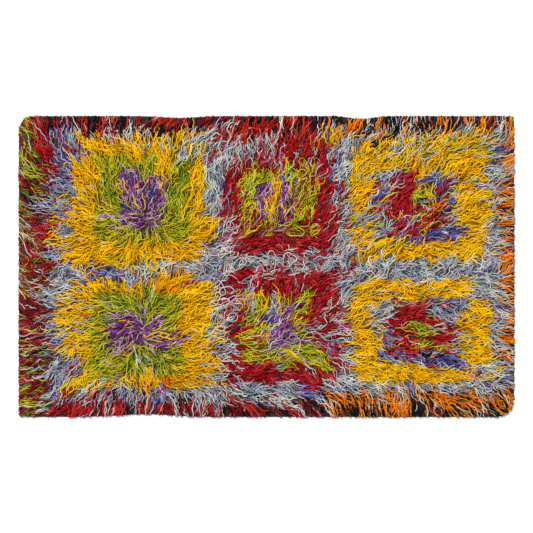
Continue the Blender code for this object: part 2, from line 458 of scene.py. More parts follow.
BLOCKS = (
    Block(
        name="west-far",
        eye=(-0.48, 0.20),
        left=-0.82,
        right=-0.12,
        near=0.02,
        far=0.55,
        headings=(60, 70, 90, 110, 180, 210, 270, 340),
        squares=(
            Square(left=-0.77, right=-0.25, near=0.02, far=0.53, mix=GOLD_MIX),
            Square(left=-0.67, right=-0.31, near=0.09, far=0.44, mix=LIME_MIX),
            Square(left=-0.58, right=-0.39, near=0.15, far=0.37, mix=LILAC_MIX),
        ),
        areas=(
            Area(x=-0.81, y=0.16, half_long=0.14, half_wide=0.06, turn=90, mix=GOLD_MIX, share=0.6),
            Area(x=-0.79, y=0.50, half_long=0.08, half_wide=0.04, turn=-45, mix=SLATE_MIX),
            Area(x=-0.56, y=0.53, half_long=0.11, half_wide=0.03, turn=0, mix=PINK_MIX, share=0.6),
            Area(x=-0.24, y=0.14, half_long=0.08, half_wide=0.03, turn=90, mix=GOLD_MIX),
            Area(x=-0.29, y=0.48, half_long=0.08, half_wide=0.04, turn=30, mix=ASH_GOLD_MIX),
            Area(x=-0.50, y=0.26, half_long=0.10, half_wide=0.07, turn=90, mix=VIOLET_MIX),
            Area(x=-0.36, y=0.26, half_long=0.09, half_wide=0.04, turn=90, mix=LEAF_MIX),
            Area(x=-0.41, y=0.40, half_long=0.05, half_wide=0.03, turn=60, mix=GOLD_MIX),
            Area(x=-0.43, y=0.49, half_long=0.07, half_wide=0.03, turn=0, mix=PALE_GOLD_MIX, share=0.8),
            Area(x=-0.60, y=0.03, half_long=0.10, half_wide=0.03, turn=0, mix=GOLD_MIX),
        ),
    ),
    Block(
        name="middle-far",
        eye=(0.03, 0.14),
        left=-0.12,
        right=0.31,
        near=0.02,
        far=0.55,
        headings=(40, 50, 90, 80, 30, 20, 350, 320),
        squares=(
            Square(left=-0.17, right=0.27, near=0.05, far=0.43, mix=CRIMSON_MIX),
            Square(left=-0.10, right=0.20, near=0.12, far=0.40, mix=CITRON_MIX),
            Square(left=-0.05, right=0.12, near=0.19, far=0.34, mix=LILAC_MIX),
        ),
        areas=(
            Area(x=-0.15, y=0.15, half_long=0.13, half_wide=0.05, turn=90, mix=PINK_MIX, share=0.7),
            Area(x=-0.14, y=0.42, half_long=0.07, half_wide=0.03, turn=20, mix=PINK_MIX),
            Area(x=0.09, y=0.25, half_long=0.10, half_wide=0.03, turn=70, mix=VIOLET_MIX),
            Area(x=0.03, y=0.28, half_long=0.10, half_wide=0.02, turn=80, mix=GOLD_MIX, share=0.7),
            Area(x=0.06, y=0.10, half_long=0.06, half_wide=0.03, turn=0, mix=CRIMSON_MIX),
        ),
    ),
    Block(
        name="east-far",
        eye=(0.53, 0.14),
        left=0.31,
        right=0.93,
        near=0.02,
        far=0.55,
        headings=(10, 30, 60, 60, 20, 20, 10, 0),
        squares=(
            Square(left=0.34, right=0.88, near=0.03, far=0.49, mix=GOLD_MIX),
            Square(left=0.43, right=0.77, near=0.11, far=0.37, mix=DUSK_MIX),
            Square(left=0.50, right=0.73, near=0.12, far=0.35, mix=EMBER_MIX),
        ),
        areas=(
            Area(x=0.68, y=0.48, half_long=0.25, half_wide=0.05, turn=10, mix=PALE_GOLD_MIX),
            Area(x=0.55, y=0.25, half_long=0.12, half_wide=0.04, turn=70, mix=CRIMSON_MIX, share=0.6),
            Area(x=0.63, y=0.29, half_long=0.06, half_wide=0.03, turn=10, mix=LIME_MIX),
            Area(x=0.59, y=0.20, half_long=0.05, half_wide=0.04, turn=20, mix=CRIMSON_MIX, share=0.7),
            Area(x=0.62, y=0.20, half_long=0.06, half_wide=0.02, turn=20, mix=LEAF_MIX, share=0.6),
            Area(x=0.72, y=0.13, half_long=0.11, half_wide=0.02, turn=10, mix=INDIGO_MIX),
            Area(x=0.82, y=0.26, half_long=0.08, half_wide=0.05, turn=20, mix=GOLD_MIX),
            Area(x=0.80, y=0.32, half_long=0.08, half_wide=0.03, turn=20, mix=PALE_GOLD_MIX),
            Area(x=0.40, y=0.18, half_long=0.08, half_wide=0.04, turn=0, mix=PALE_GOLD_MIX),
            Area(x=0.36, y=0.08, half_long=0.06, half_wide=0.03, turn=0, mix=GRID_MIX, share=0.5),
        ),
    ),
    Block(
        name="west-near",
        eye=(-0.49, -0.25),
        left=-0.86,
        right=-0.11,
        near=-0.51,
        far=-0.02,
        headings=(20, 40, 90, 150, 180, 220, 300, 340),
        squares=(
            Square(left=-0.84, right=-0.22, near=-0.48, far=-0.06, mix=GOLD_MIX),
            Square(left=-0.71, right=-0.33, near=-0.44, far=-0.10, mix=LIME_MIX),
            Square(left=-0.63, right=-0.42, near=-0.36, far=-0.18, mix=LILAC_MIX),
        ),
        areas=(
            Area(x=-0.54, y=-0.26, half_long=0.10, half_wide=0.05, turn=0, mix=VIOLET_MIX),
            Area(x=-0.59, y=-0.15, half_long=0.10, half_wide=0.04, turn=0, mix=LEAF_MIX, share=0.7),
            Area(x=-0.40, y=-0.17, half_long=0.06, half_wide=0.05, turn=0, mix=LEAF_MIX, share=0.7),
            Area(x=-0.48, y=-0.38, half_long=0.09, half_wide=0.04, turn=0, mix=LEAF_MIX),
            Area(x=-0.48, y=-0.36, half_long=0.05, half_wide=0.04, turn=-30, mix=MOSS_MIX),
            Area(x=-0.38, y=-0.29, half_long=0.06, half_wide=0.03, turn=20, mix=LILAC_MIX),
            Area(x=-0.38, y=-0.46, half_long=0.21, half_wide=0.03, turn=0, mix=DEEP_GOLD_MIX),
            Area(x=-0.36, y=-0.06, half_long=0.12, half_wide=0.04, turn=0, mix=DEEP_GOLD_MIX),
            Area(x=-0.80, y=-0.41, half_long=0.08, half_wide=0.06, turn=20, mix=SLATE_MIX),
            Area(x=-0.76, y=-0.48, half_long=0.08, half_wide=0.03, turn=30, mix=GOLD_MIX, share=0.5),
            Area(x=-0.20, y=-0.39, half_long=0.05, half_wide=0.04, turn=0, mix=GOLD_MIX),
            Area(x=-0.19, y=-0.29, half_long=0.09, half_wide=0.04, turn=90, mix=ASH_RED_MIX),
            Area(x=-0.20, y=-0.29, half_long=0.08, half_wide=0.03, turn=90, mix=GOLD_MIX, share=0.5),
            Area(x=-0.76, y=-0.22, half_long=0.14, half_wide=0.06, turn=90, mix=PALE_GOLD_MIX, share=0.5),
            Area(x=-0.82, y=-0.25, half_long=0.05, half_wide=0.03, turn=0, mix=ASH_GOLD_MIX, share=0.8),
            Area(x=-0.82, y=-0.09, half_long=0.05, half_wide=0.04, turn=0, mix=GRID_MIX, share=0.6),
        ),
    ),
    Block(
        name="middle-near",
        eye=(0.05, -0.29),
        left=-0.11,
        right=0.33,
        near=-0.51,
        far=-0.02,
        headings=(350, 50, 80, 60, 20, 10, 340, 320),
        squares=(
            Square(left=-0.17, right=0.29, near=-0.46, far=-0.01, mix=CRIMSON_MIX),
            Square(left=-0.10, right=0.18, near=-0.38, far=-0.11, mix=CITRON_MIX),
            Square(left=0.0, right=0.12, near=-0.35, far=-0.14, mix=LILAC_MIX),
        ),
        areas=(
            Area(x=0.0, y=-0.04, half_long=0.10, half_wide=0.03, turn=20, mix=FADED_MIX),
            Area(x=-0.16, y=-0.14, half_long=0.14, half_wide=0.05, turn=90, mix=ASH_RED_MIX, share=0.7),
            Area(x=-0.15, y=-0.36, half_long=0.08, half_wide=0.04, turn=90, mix=ASH_RED_MIX, share=0.7),
            Area(x=0.20, y=-0.47, half_long=0.07, half_wide=0.02, turn=0, mix=CRIMSON_MIX, share=0.8),
            Area(x=0.25, y=-0.24, half_long=0.12, half_wide=0.04, turn=90, mix=ASH_RED_MIX, share=0.4),
            Area(x=0.08, y=-0.28, half_long=0.09, half_wide=0.02, turn=90, mix=VIOLET_MIX),
            Area(x=0.03, y=-0.17, half_long=0.08, half_wide=0.03, turn=90, mix=ASH_GOLD_MIX, share=0.5),
            Area(x=-0.08, y=-0.15, half_long=0.05, half_wide=0.03, turn=90, mix=LIME_MIX, share=0.8),
            Area(x=0.16, y=-0.14, half_long=0.10, half_wide=0.02, turn=80, mix=LIME_MIX),
            Area(x=0.18, y=-0.35, half_long=0.10, half_wide=0.04, turn=-40, mix=LIME_MIX),
            Area(x=0.07, y=-0.35, half_long=0.07, half_wide=0.04, turn=0, mix=MOSS_MIX, share=0.7),
        ),
    ),
    Block(
        name="east-near",
        eye=(0.57, -0.27),
        left=0.33,
        right=0.93,
        near=-0.51,
        far=-0.02,
        headings=(0, 350, 0, 30, 0, 340, 310, 330),
        squares=(
            Square(left=0.34, right=0.90, near=-0.46, far=-0.05, mix=GOLD_MIX),
            Square(left=0.45, right=0.78, near=-0.39, far=-0.13, mix=DUSK_MIX),
            Square(left=0.50, right=0.76, near=-0.36, far=-0.15, mix=EMBER_MIX),
        ),
        areas=(
            Area(x=0.57, y=-0.19, half_long=0.09, half_wide=0.04, turn=30, mix=CRIMSON_MIX),
            Area(x=0.63, y=-0.25, half_long=0.09, half_wide=0.02, turn=-20, mix=LIME_MIX),
            Area(x=0.65, y=-0.31, half_long=0.08, half_wide=0.02, turn=-30, mix=LIME_MIX),
            Area(x=0.71, y=-0.28, half_long=0.07, half_wide=0.02, turn=-30, mix=CRIMSON_MIX),
            Area(x=0.73, y=-0.18, half_long=0.08, half_wide=0.04, turn=0, mix=SLATE_MIX),
            Area(x=0.70, y=-0.37, half_long=0.11, half_wide=0.03, turn=-10, mix=INDIGO_MIX),
            Area(x=0.83, y=-0.27, half_long=0.10, half_wide=0.06, turn=90, mix=GOLD_MIX),
            Area(x=0.44, y=-0.21, half_long=0.07, half_wide=0.03, turn=90, mix=ASH_GOLD_MIX),
            Area(x=0.87, y=-0.09, half_long=0.06, half_wide=0.05, turn=0, mix=GRID_MIX),
            Area(x=0.87, y=-0.42, half_long=0.06, half_wide=0.04, turn=0, mix=ASH_GOLD_MIX),
        ),
    ),
)

EDGE_COMBS = (
    EdgeComb(
        side_x=0,
        side_y=1,
        places=(-0.95, -0.75, -0.40, -0.15, 0.10, 0.65, 0.90),
        headings=(130, 100, 70, 50, 80, 80, 60),
    ),
    EdgeComb(
        side_x=0,
        side_y=-1,
        places=(-0.95, -0.70, -0.40, 0.05, 0.30, 0.60, 0.90),
        headings=(210, 250, 280, 320, 280, 280, 320),
    ),
    EdgeComb(
        side_x=-1,
        side_y=0,
        places=(-0.55, -0.30, 0.0, 0.30, 0.55),
        headings=(200, 180, 150, 130, 120),
    ),
    EdgeComb(
        side_x=1,
        side_y=0,
        places=(-0.55, -0.30, 0.0, 0.30, 0.55),
        headings=(320, 0, 0, 10, 70),
    ),
)


@dataclass(frozen=True)
class Tangle:
    """A patch of tangled, curly pile: its middle and its reach."""

    x: float
    y: float
    reach: float


@dataclass(frozen=True)
class LoopPatch:
    """An oval patch in which a few long yarns lie in loops: its middle, reaches and yarn."""

    x: float
    y: float
    reach_x: float
    reach_y: float
    wool: Wool

    def away(self, x: Array, y: Array) -> Array:
        """Find how far out in the patch some points are: 0 at its middle, 1 at its rim."""
        return np.hypot((x - self.x) / self.reach_x, (y - self.y) / self.reach_y)


LOOP_PATCHES = (
    LoopPatch(x=-0.16, y=0.05, reach_x=0.07, reach_y=0.04, wool=Wool.IVORY),
    LoopPatch(x=-0.17, y=-0.14, reach_x=0.04, reach_y=0.08, wool=Wool.IVORY),
    LoopPatch(x=0.02, y=0.03, reach_x=0.06, reach_y=0.03, wool=Wool.IVORY),
    LoopPatch(x=0.13, y=-0.28, reach_x=0.04, reach_y=0.03, wool=Wool.LILAC),
    LoopPatch(x=0.12, y=0.17, reach_x=0.04, reach_y=0.03, wool=Wool.LIME),
    LoopPatch(x=0.14, y=0.39, reach_x=0.04, reach_y=0.03, wool=Wool.LIME),
    LoopPatch(x=0.62, y=0.29, reach_x=0.04, reach_y=0.02, wool=Wool.LIME),
    LoopPatch(x=0.27, y=-0.04, reach_x=0.04, reach_y=0.03, wool=Wool.CRIMSON),
)


@dataclass
class Comb:
    """The way in which the whole pile is combed, and how matted it is.

    The blocks and the edges each pull the pile their own way, the nearer the stronger. Turns
    are in radians: they are how far the drifts can turn the pile aside.
    """

    outline: Outline
    rng: np.random.Generator
    blocks: tuple[Block, ...] = BLOCKS
    edges: tuple[EdgeComb, ...] = EDGE_COMBS
    block_sharpness: float = 5.0
    block_core: float = 0.35
    edge_reach: float = 0.085
    edge_nearest: float = 0.012
    edge_sharpness: float = 3.0
    band_y: float = -0.005
    band_half: float = 0.045
    broad_turn: float = 0.45
    small_turn: float = 0.45
    band_turn: float = 1.3
    broad_spacing: float = 0.11
    small_spacing: float = 0.035
    tangles: tuple[Tangle, ...] = (
        Tangle(x=0.12, y=0.17, reach=0.06),
        Tangle(x=0.09, y=0.39, reach=0.06),
        Tangle(x=-0.12, y=-0.14, reach=0.07),
        Tangle(x=0.63, y=0.28, reach=0.05),
    )
    broad: Drift = field(init=False)
    small: Drift = field(init=False)

    def __post_init__(self) -> None:
        """Draw the drifts that turn the pile a little from place to place."""
        self.broad = Drift(self.broad_spacing, self.rng)
        self.small = Drift(self.small_spacing, self.rng)

    def matted(self, x: Array, y: Array) -> Array:
        """Find how matted the pile is: most between the two rows, and in the tangles.

        Args:
            x: Places along the rug.
            y: Places across the rug.

        Returns:
            A share from 0 to 1 for each place.
        """
        loose = np.exp(-(((y - self.band_y) / self.band_half) ** 2))
        for tangle in self.tangles:
            away = np.hypot(x - tangle.x, y - tangle.y) / tangle.reach
            loose = np.maximum(loose, np.exp(-(away**2)))
        return loose

    def heading(self, x: Array, y: Array) -> Array:
        """Find the way in which the pile lies.

        Args:
            x: Places along the rug.
            y: Places across the rug.

        Returns:
            The heading at each place, in radians from +X.
        """
        cosine, sine = np.zeros_like(x), np.zeros_like(x)
        for block in self.blocks:
            weight = np.maximum(block.away(x, y), self.block_core) ** -self.block_sharpness
            c, s = block.heading(x, y)
            cosine += weight * c
            sine += weight * s
        half_x, half_y = self.outline.half_x, self.outline.half_y
        for edge in self.edges:
            room = half_x - edge.side_x * x if edge.side_x else half_y - edge.side_y * y
            weight = (self.edge_reach / np.maximum(room, self.edge_nearest)) ** self.edge_sharpness
            c, s = edge.heading(y if edge.side_x else x)
            cosine += weight * c
            sine += weight * s
        loose = self.matted(x, y)
        turn = self.broad_turn * self.broad.at(x, y)
        turn += (self.small_turn + self.band_turn * loose) * self.small.at(x, y)
        return np.arctan2(sine, cosine) + turn


@dataclass
class Chart:
    """The pattern of the rug: which yarn is knotted where."""

    rng: np.random.Generator
    wander: float = 0.014
    area_wander: float = 0.007
    broad_spacing: float = 0.06
    small_spacing: float = 0.02
    small_share: float = 0.6
    broad: Drift = field(init=False)
    small: Drift = field(init=False)
    parts: tuple[Square | Area, ...] = field(init=False)

    def __post_init__(self) -> None:
        """Lay the blocks over the ground, each area over its squares, and draw their unevenness."""
        self.broad = Drift(self.broad_spacing, self.rng)
        self.small = Drift(self.small_spacing, self.rng)
        self.parts = GROUND_SQUARES + GROUND_AREAS
        for block in BLOCKS:
            self.parts += block.squares + block.areas

    def part_at(self, x: Array, y: Array, taken: Array | float) -> Array:
        """Find the topmost part of the pattern at each place.

        Args:
            x: Places along the rug.
            y: Places across the rug.
            taken: A value from 0 to 1 for each place: an area takes those below its share.

        Returns:
            The index of each place's part.
        """
        uneven = self.broad.at(x, y) + self.small_share * self.small.at(x, y)
        found = np.zeros(len(x), int)
        for index, part in enumerate(self.parts):
            oval = isinstance(part, Area)
            share = part.share if oval else 1.0
            shift = (self.area_wander if oval else self.wander) * uneven
            found[(part.depth(x, y) + shift > 0.0) & (taken <= share)] = index
        return found

    def wool_at(self, x: Array, y: Array, draw: Array, taken: Array) -> Array:
        """Choose a yarn for each place.

        Args:
            x: Places along the rug.
            y: Places across the rug.
            draw: A value from 0 to 1 for each place, which picks from the part's mix.
            taken: A value from 0 to 1 for each place, as in part_at.

        Returns:
            The index in WOOLS of each place's yarn.
        """
        found = self.part_at(x, y, taken)
        wool = np.zeros(len(x), int)
        for index, part in enumerate(self.parts):
            here = found == index
            shares = np.array([part.mix.get(kind, 0.0) for kind in WOOLS])
            steps = np.cumsum(shares) / shares.sum()
            wool[here] = np.searchsorted(steps, draw[here])
        return np.minimum(wool, len(WOOLS) - 1)


@dataclass(frozen=True)
class Whorl:
    """The relief of a block: its middle, its half sides, and how many ridges run out of it."""

    x: float
    y: float
    half_x: float
    half_y: float
    ridges: int


@dataclass
class Relief:
    """The height of the bed of matted pile, which swells at the blocks and sinks between them.

    The bed thins out towards its rim, over the rise, and runs out in the lip.
    """

    outline: Outline
    rng: np.random.Generator
    whorls: tuple[Whorl, ...] = (
        Whorl(x=-0.48, y=0.20, half_x=0.26, half_y=0.26, ridges=17),
        Whorl(x=0.03, y=0.15, half_x=0.23, half_y=0.20, ridges=15),
        Whorl(x=0.56, y=0.14, half_x=0.28, half_y=0.25, ridges=19),
        Whorl(x=-0.49, y=-0.25, half_x=0.33, half_y=0.24, ridges=19),
        Whorl(x=0.06, y=-0.29, half_x=0.24, half_y=0.24, ridges=15),
        Whorl(x=0.57, y=-0.27, half_x=0.30, half_y=0.23, ridges=17),
    )
    whorl_reach: float = 1.25
    ridge_twist: float = 5.0
    swell: float = 0.006
    ridge: float = 0.006
    trough: float = 0.005
    tuft: float = 0.006
    tuft_spacing: float = 0.085
    small_tuft: float = 0.5
    small_tuft_spacing: float = 0.040
    bed_height: float = 0.016
    rim_height: float = 0.008
    rim_rise: float = 0.075
    rim_lumps: float = 0.3
    lip: float = 0.030
    lowest: float = 0.004
    tufts: Drift = field(init=False)
    small_tufts: Drift = field(init=False)

    def __post_init__(self) -> None:
        """Draw the tufts, which stand up where the pile is thick."""
        self.tufts = Drift(self.tuft_spacing, self.rng)
        self.small_tufts = Drift(self.small_tuft_spacing, self.rng)

    def lumps(self, x: Array, y: Array) -> Array:
        """Find the height that the whorls and the tufts add to the bed.

        Args:
            x: Places along the rug.
            y: Places across the rug.

        Returns:
            The height to add at each place, which can be below 0.
        """
        height = -self.trough + self.tuft * self.tufts.at(x, y)
        height = height + self.small_tuft * self.tuft * self.small_tufts.at(x, y)
        for whorl in self.whorls:
            across, up = x - whorl.x, y - whorl.y
            away = np.maximum(np.abs(across) / whorl.half_x, np.abs(up) / whorl.half_y)
            way_out = math.pi * np.minimum(away / self.whorl_reach, 1.0)
            wave = np.sin(whorl.ridges * np.arctan2(up, across) + self.ridge_twist * away)
            height += (self.swell + self.trough) * (0.5 + 0.5 * np.cos(way_out))
            height += self.ridge * np.sin(way_out) * wave
        return height

    def height(self, x: Array, y: Array) -> Array:
        """Find the top of the bed.

        Args:
            x: Places along the rug.
            y: Places across the rug.

        Returns:
            The height of the bed at each place.
        """
        depth = self.outline.depth(x, y)
        rise = eased(depth / self.rim_rise)
        plain = self.rim_height + (self.bed_height - self.rim_height) * rise
        lumpy = plain + self.lumps(x, y) * (self.rim_lumps + (1 - self.rim_lumps) * rise)
        return np.maximum(self.lowest, lumpy * eased(depth / self.lip))


def new_material(name: str) -> tuple[bpy.types.Material, bpy.types.NodeTree, bpy.types.Node]:
    """Start a node material.

    Args:
        name: Its name.

    Returns:
        The material, its node tree and its Principled shader.
    """
    material = bpy.data.materials.new(name)
    material.use_nodes = True
    tree = material.node_tree
    return material, tree, tree.nodes["Principled BSDF"]


# The sockets of a Mix node that hold its colours: two that go in and one that comes out.
MIX_FIRST = 6
MIX_SECOND = 7
MIX_RESULT = 2


@dataclass
class Graph:
    """A node tree that is wired up one node at a time."""

    tree: bpy.types.NodeTree

    def node(self, kind: str, **settings: object) -> bpy.types.Node:
        """Add a node.

        Args:
            kind: The type of the node.
            **settings: Its settings by name.

        Returns:
            The new node.
        """
        made = self.tree.nodes.new(kind)
        for name, value in settings.items():
            setattr(made, name, value)
        return made

    def feed(self, node: bpy.types.Node, socket: str | int, value: object) -> None:
        """Link a socket to another node's output, or set its value.

        Args:
            node: The node to feed.
            socket: The name or the index of its input.
            value: The output to link, or the value to set.
        """
        if isinstance(value, bpy.types.NodeSocket):
            self.tree.links.new(value, node.inputs[socket])
        else:
            node.inputs[socket].default_value = value

    def maths(self, kind: str, first: object, second: object) -> bpy.types.NodeSocket:
        """Work out one step of arithmetic.

        Args:
            kind: The operation of the Math node.
            first: The first value, or the output that gives it.
            second: The second one.

        Returns:
            The output that gives the result.
        """
        node = self.node("ShaderNodeMath", operation=kind)
        self.feed(node, 0, first)
        self.feed(node, 1, second)
        return node.outputs[0]

    def noise(self, place: object, scale: float, detail: float) -> bpy.types.NodeSocket:
        """Make noise that runs from about 0 to 1.

        Args:
            place: The output that gives the place.
            scale: How fine the noise is.
            detail: How many finer octaves it has.

        Returns:
            The output that gives the noise.
        """
        node = self.node("ShaderNodeTexNoise")
        self.feed(node, "Vector", place)
        self.feed(node, "Scale", scale)
        self.feed(node, "Detail", detail)
        return node.outputs["Fac"]

    def ramp(self, share: object, *stops: tuple[float, Colour]) -> bpy.types.NodeSocket:
        """Turn a share into a colour that changes through some stops.

        Args:
            share: The output that gives the share.
            *stops: Two stops or more, each a share and its colour.

        Returns:
            The output that gives the colour.
        """
        node = self.node("ShaderNodeValToRGB")
        band = node.color_ramp
        for place, _ in stops[2:]:
            band.elements.new(place)
        for element, (place, colour) in zip(band.elements, sorted(stops)):
            element.position = place
            element.color = linear(colour)
        self.feed(node, 0, share)
        return node.outputs["Color"]

    def mix(self, kind: str, share: object, first: object, second: object) -> bpy.types.NodeSocket:
        """Blend two colours.

        Args:
            kind: The blend type of the Mix node.
            share: How much of the blend shows, from 0 to 1.
            first: The output that gives the lower colour.
            second: The output that gives the upper colour.

        Returns:
            The output that gives the blended colour.
        """
        node = self.node("ShaderNodeMix", data_type="RGBA", blend_type=kind)
        self.feed(node, 0, share)
        self.feed(node, MIX_FIRST, first)
        self.feed(node, MIX_SECOND, second)
        return node.outputs[MIX_RESULT]

    def remap(self, value: object, low: float, high: float) -> bpy.types.NodeSocket:
        """Stretch a value from 0 to 1 over another range.

        Args:
            value: The output that gives the value.
            low: What 0 turns into.
            high: What 1 turns into.

        Returns:
            The output that gives the stretched value.
        """
        node = self.node("ShaderNodeMapRange")
        self.feed(node, "Value", value)
        self.feed(node, "To Min", low)
        self.feed(node, "To Max", high)
        return node.outputs[0]

    def grey(self, value: bpy.types.NodeSocket) -> bpy.types.NodeSocket:
        """Turn a value into a grey colour.

        Args:
            value: The output that gives the value.

        Returns:
            The output that gives the colour.
        """
        node = self.node("ShaderNodeCombineColor")
        for channel in range(3):
            self.feed(node, channel, value)
        return node.outputs[0]

    def bump(self, height: object, strength: float, depth: float) -> bpy.types.NodeSocket:
        """Bend the surface by a relief.

        Args:
            height: The output that gives the relief's height.
            strength: How much of the bend shows, from 0 to 1.
            depth: How deep the relief is for each unit of its height, in metres.

        Returns:
            The output that gives the bent normal.
        """
        node = self.node("ShaderNodeBump")
        self.feed(node, "Height", height)
        self.feed(node, "Strength", strength)
        self.feed(node, "Distance", depth)
        return node.outputs[0]


@dataclass(frozen=True)
class YarnFinish:
    """Hand-spun two-ply wool yarn of one dye lot, with painted shade at its root and on its underside.

    It holds three tones of its dye. A shade is a factor on the dye's brightness; those of the root, the
    tip and the underside are painted shade and light.
    """

    wool: Wool
    slot: str
    deep: Colour
    main: Colour
    pale: Colour
    roughness: float = 0.9
    root_shade: float = 0.55
    under_shade: float = 0.30
    # How light its colour is in the bed below, which lightens the painted shade between its strands.
    matted: float = 1.0
    ridge_width: float = 0.55
    tip_shade: float = 1.06
    specular: float = 0.05
    blotch_scale: float = 38.0
    blotch_detail: float = 2.0
    fibre_scale: float = 260.0
    fibre_detail: float = 3.0
    fibre_shades: tuple[float, float] = (0.60, 1.38)
    plies: int = 2
    ply_pitch: float = 0.013
    ply_share: float = 0.5
    ply_strength: float = 0.5
    ply_depth: float = 0.0005

    def material(self) -> bpy.types.Material:
        """Dye the yarn: its tone from strand to strand, its fibres and its ply, with painted shade at its
        root and on its underside.

        Returns:
            The material.
        """
        material, tree, shader = new_material(f"{self.wool.value}-yarn")
        graph = Graph(tree)
        strand = graph.node("ShaderNodeAttribute", attribute_name="strand")
        parts = graph.node("ShaderNodeSeparateXYZ")
        graph.feed(parts, 0, strand.outputs["Vector"])
        tone, bright, ridge = parts.outputs
        place = graph.node("ShaderNodeTexCoord").outputs["Object"]
        blotch = graph.noise(place, self.blotch_scale, self.blotch_detail)
        fibre = graph.noise(place, self.fibre_scale, self.fibre_detail)
        dye = graph.maths("ADD", tone, graph.maths("SUBTRACT", blotch, 0.5))
        colour = graph.ramp(dye, (0.0, self.deep), (1.0, self.pale), (0.5, self.main))
        fibres = graph.remap(fibre, *self.fibre_shades)
        # Painted shade at the root, which lies under other strands, and painted light at the tip.
        painted_root_to_tip = graph.remap(bright, self.root_shade, self.tip_shade)
        fibres_and_root_shade = graph.maths("MULTIPLY", fibres, painted_root_to_tip)
        # Painted shade on the strand's underside, lightest along its ridge.
        painted_underside_shade = graph.remap(graph.maths("DIVIDE", ridge, self.ridge_width), self.under_shade, 1.0)
        shade = graph.maths("MULTIPLY", fibres_and_root_shade, painted_underside_shade)
        graph.feed(shader, "Base Color", graph.mix("MULTIPLY", 1.0, colour, graph.grey(shade)))
        graph.feed(shader, "Roughness", self.roughness)
        graph.feed(shader, "Specular IOR Level", self.specular)
        graph.feed(shader, "Normal", self.ply(graph, fibre))
        return material

    def ply(self, graph: Graph, fibre: bpy.types.NodeSocket) -> bpy.types.NodeSocket:
        """Shape the plies that wind round each other, and the fibres on them.

        Args:
            graph: The material's graph.
            fibre: The output that gives the fibres.

        Returns:
            The output that gives the bent normal.
        """
        parts = graph.node("ShaderNodeSeparateXYZ")
        graph.feed(parts, 0, graph.node("ShaderNodeUVMap", uv_map="yarn").outputs[0])
        along, around, _ = parts.outputs
        turns = graph.maths("ADD", graph.maths("DIVIDE", along, self.ply_pitch), around)
        wave = graph.maths("SINE", graph.maths("MULTIPLY", turns, self.plies * math.tau), 0.0)
        relief = graph.maths("ADD", graph.maths("MULTIPLY", wave, self.ply_share), fibre)
        return graph.bump(relief, self.ply_strength, self.ply_depth)


FINISHES = (
    YarnFinish(
        Wool.GOLD,
        "gold_yarn",
        deep=(240, 172, 0),
        main=(255, 198, 0),
        pale=(255, 214, 30),
        under_shade=0.55,
        matted=1.3,
    ),
    YarnFinish(
        Wool.AMBER,
        "gold_yarn",
        deep=(226, 138, 0),
        main=(248, 166, 4),
        pale=(255, 190, 24),
        under_shade=0.55,
        matted=1.3,
    ),
    YarnFinish(Wool.ORANGE, "orange_yarn", deep=(222, 102, 4), main=(250, 136, 8), pale=(255, 168, 50)),
    YarnFinish(Wool.SCARLET, "crimson_yarn", deep=(164, 22, 12), main=(208, 48, 26), pale=(228, 96, 64)),
    YarnFinish(Wool.CRIMSON, "crimson_yarn", deep=(148, 6, 16), main=(190, 24, 36), pale=(212, 82, 82)),
    YarnFinish(Wool.MAROON, "crimson_yarn", deep=(98, 14, 24), main=(140, 32, 42), pale=(170, 74, 74)),
    YarnFinish(Wool.LIME, "lime_yarn", deep=(152, 152, 16), main=(200, 196, 34), pale=(226, 216, 70)),
    YarnFinish(Wool.LEAF, "lime_yarn", deep=(98, 124, 22), main=(140, 162, 42), pale=(170, 184, 72)),
    YarnFinish(Wool.VIOLET, "violet_yarn", deep=(98, 24, 98), main=(140, 54, 138), pale=(176, 106, 172)),
    YarnFinish(Wool.LILAC, "violet_yarn", deep=(144, 94, 144), main=(194, 150, 190), pale=(220, 192, 212)),
    YarnFinish(Wool.INDIGO, "slate_yarn", deep=(62, 52, 126), main=(100, 88, 170), pale=(144, 134, 202)),
    YarnFinish(Wool.SLATE, "slate_yarn", deep=(126, 136, 154), main=(160, 171, 188), pale=(192, 201, 211)),
    YarnFinish(Wool.IVORY, "ivory_yarn", deep=(178, 180, 170), main=(210, 212, 202), pale=(234, 233, 222)),
    YarnFinish(Wool.BLACK, "black_yarn", deep=(18, 16, 18), main=(32, 29, 32), pale=(52, 48, 52)),
)


def deselect_all() -> None:
    """Leave nothing selected, so that an operator acts on what is added next."""
    bpy.ops.object.select_all(action="DESELECT")


def give_material(piece: bpy.types.Object, material: bpy.types.Material) -> None:
    """Leave a piece with this one material."""
    piece.data.materials.clear()
    piece.data.materials.append(material)


def points_of(piece: bpy.types.Object) -> Array:
    """Read the points of a piece's mesh.

    Args:
        piece: The piece.

    Returns:
        One row for each point.
    """
    points = np.empty(len(piece.data.vertices) * 3, np.float32)
    piece.data.vertices.foreach_get("co", points)
    return points.reshape(-1, 3).astype(float)


def set_points(piece: bpy.types.Object, points: Array) -> None:
    """Move the points of a piece's mesh."""
    piece.data.vertices.foreach_set("co", points.astype(np.float32).ravel())
    piece.data.update()


def plain_grid(name: str, cells_long: int, cells_wide: int) -> bpy.types.Object:
    """Add a flat grid from -1 to 1 each way.

    Args:
        name: The new object's name.
        cells_long: Cells along X.
        cells_wide: Cells along Y.

    Returns:
        The new object.
    """
    deselect_all()
    bpy.ops.mesh.primitive_grid_add(x_subdivisions=cells_long, y_subdivisions=cells_wide, size=2.0)
    piece = bpy.context.active_object
    piece.name = piece.data.name = name
    return piece


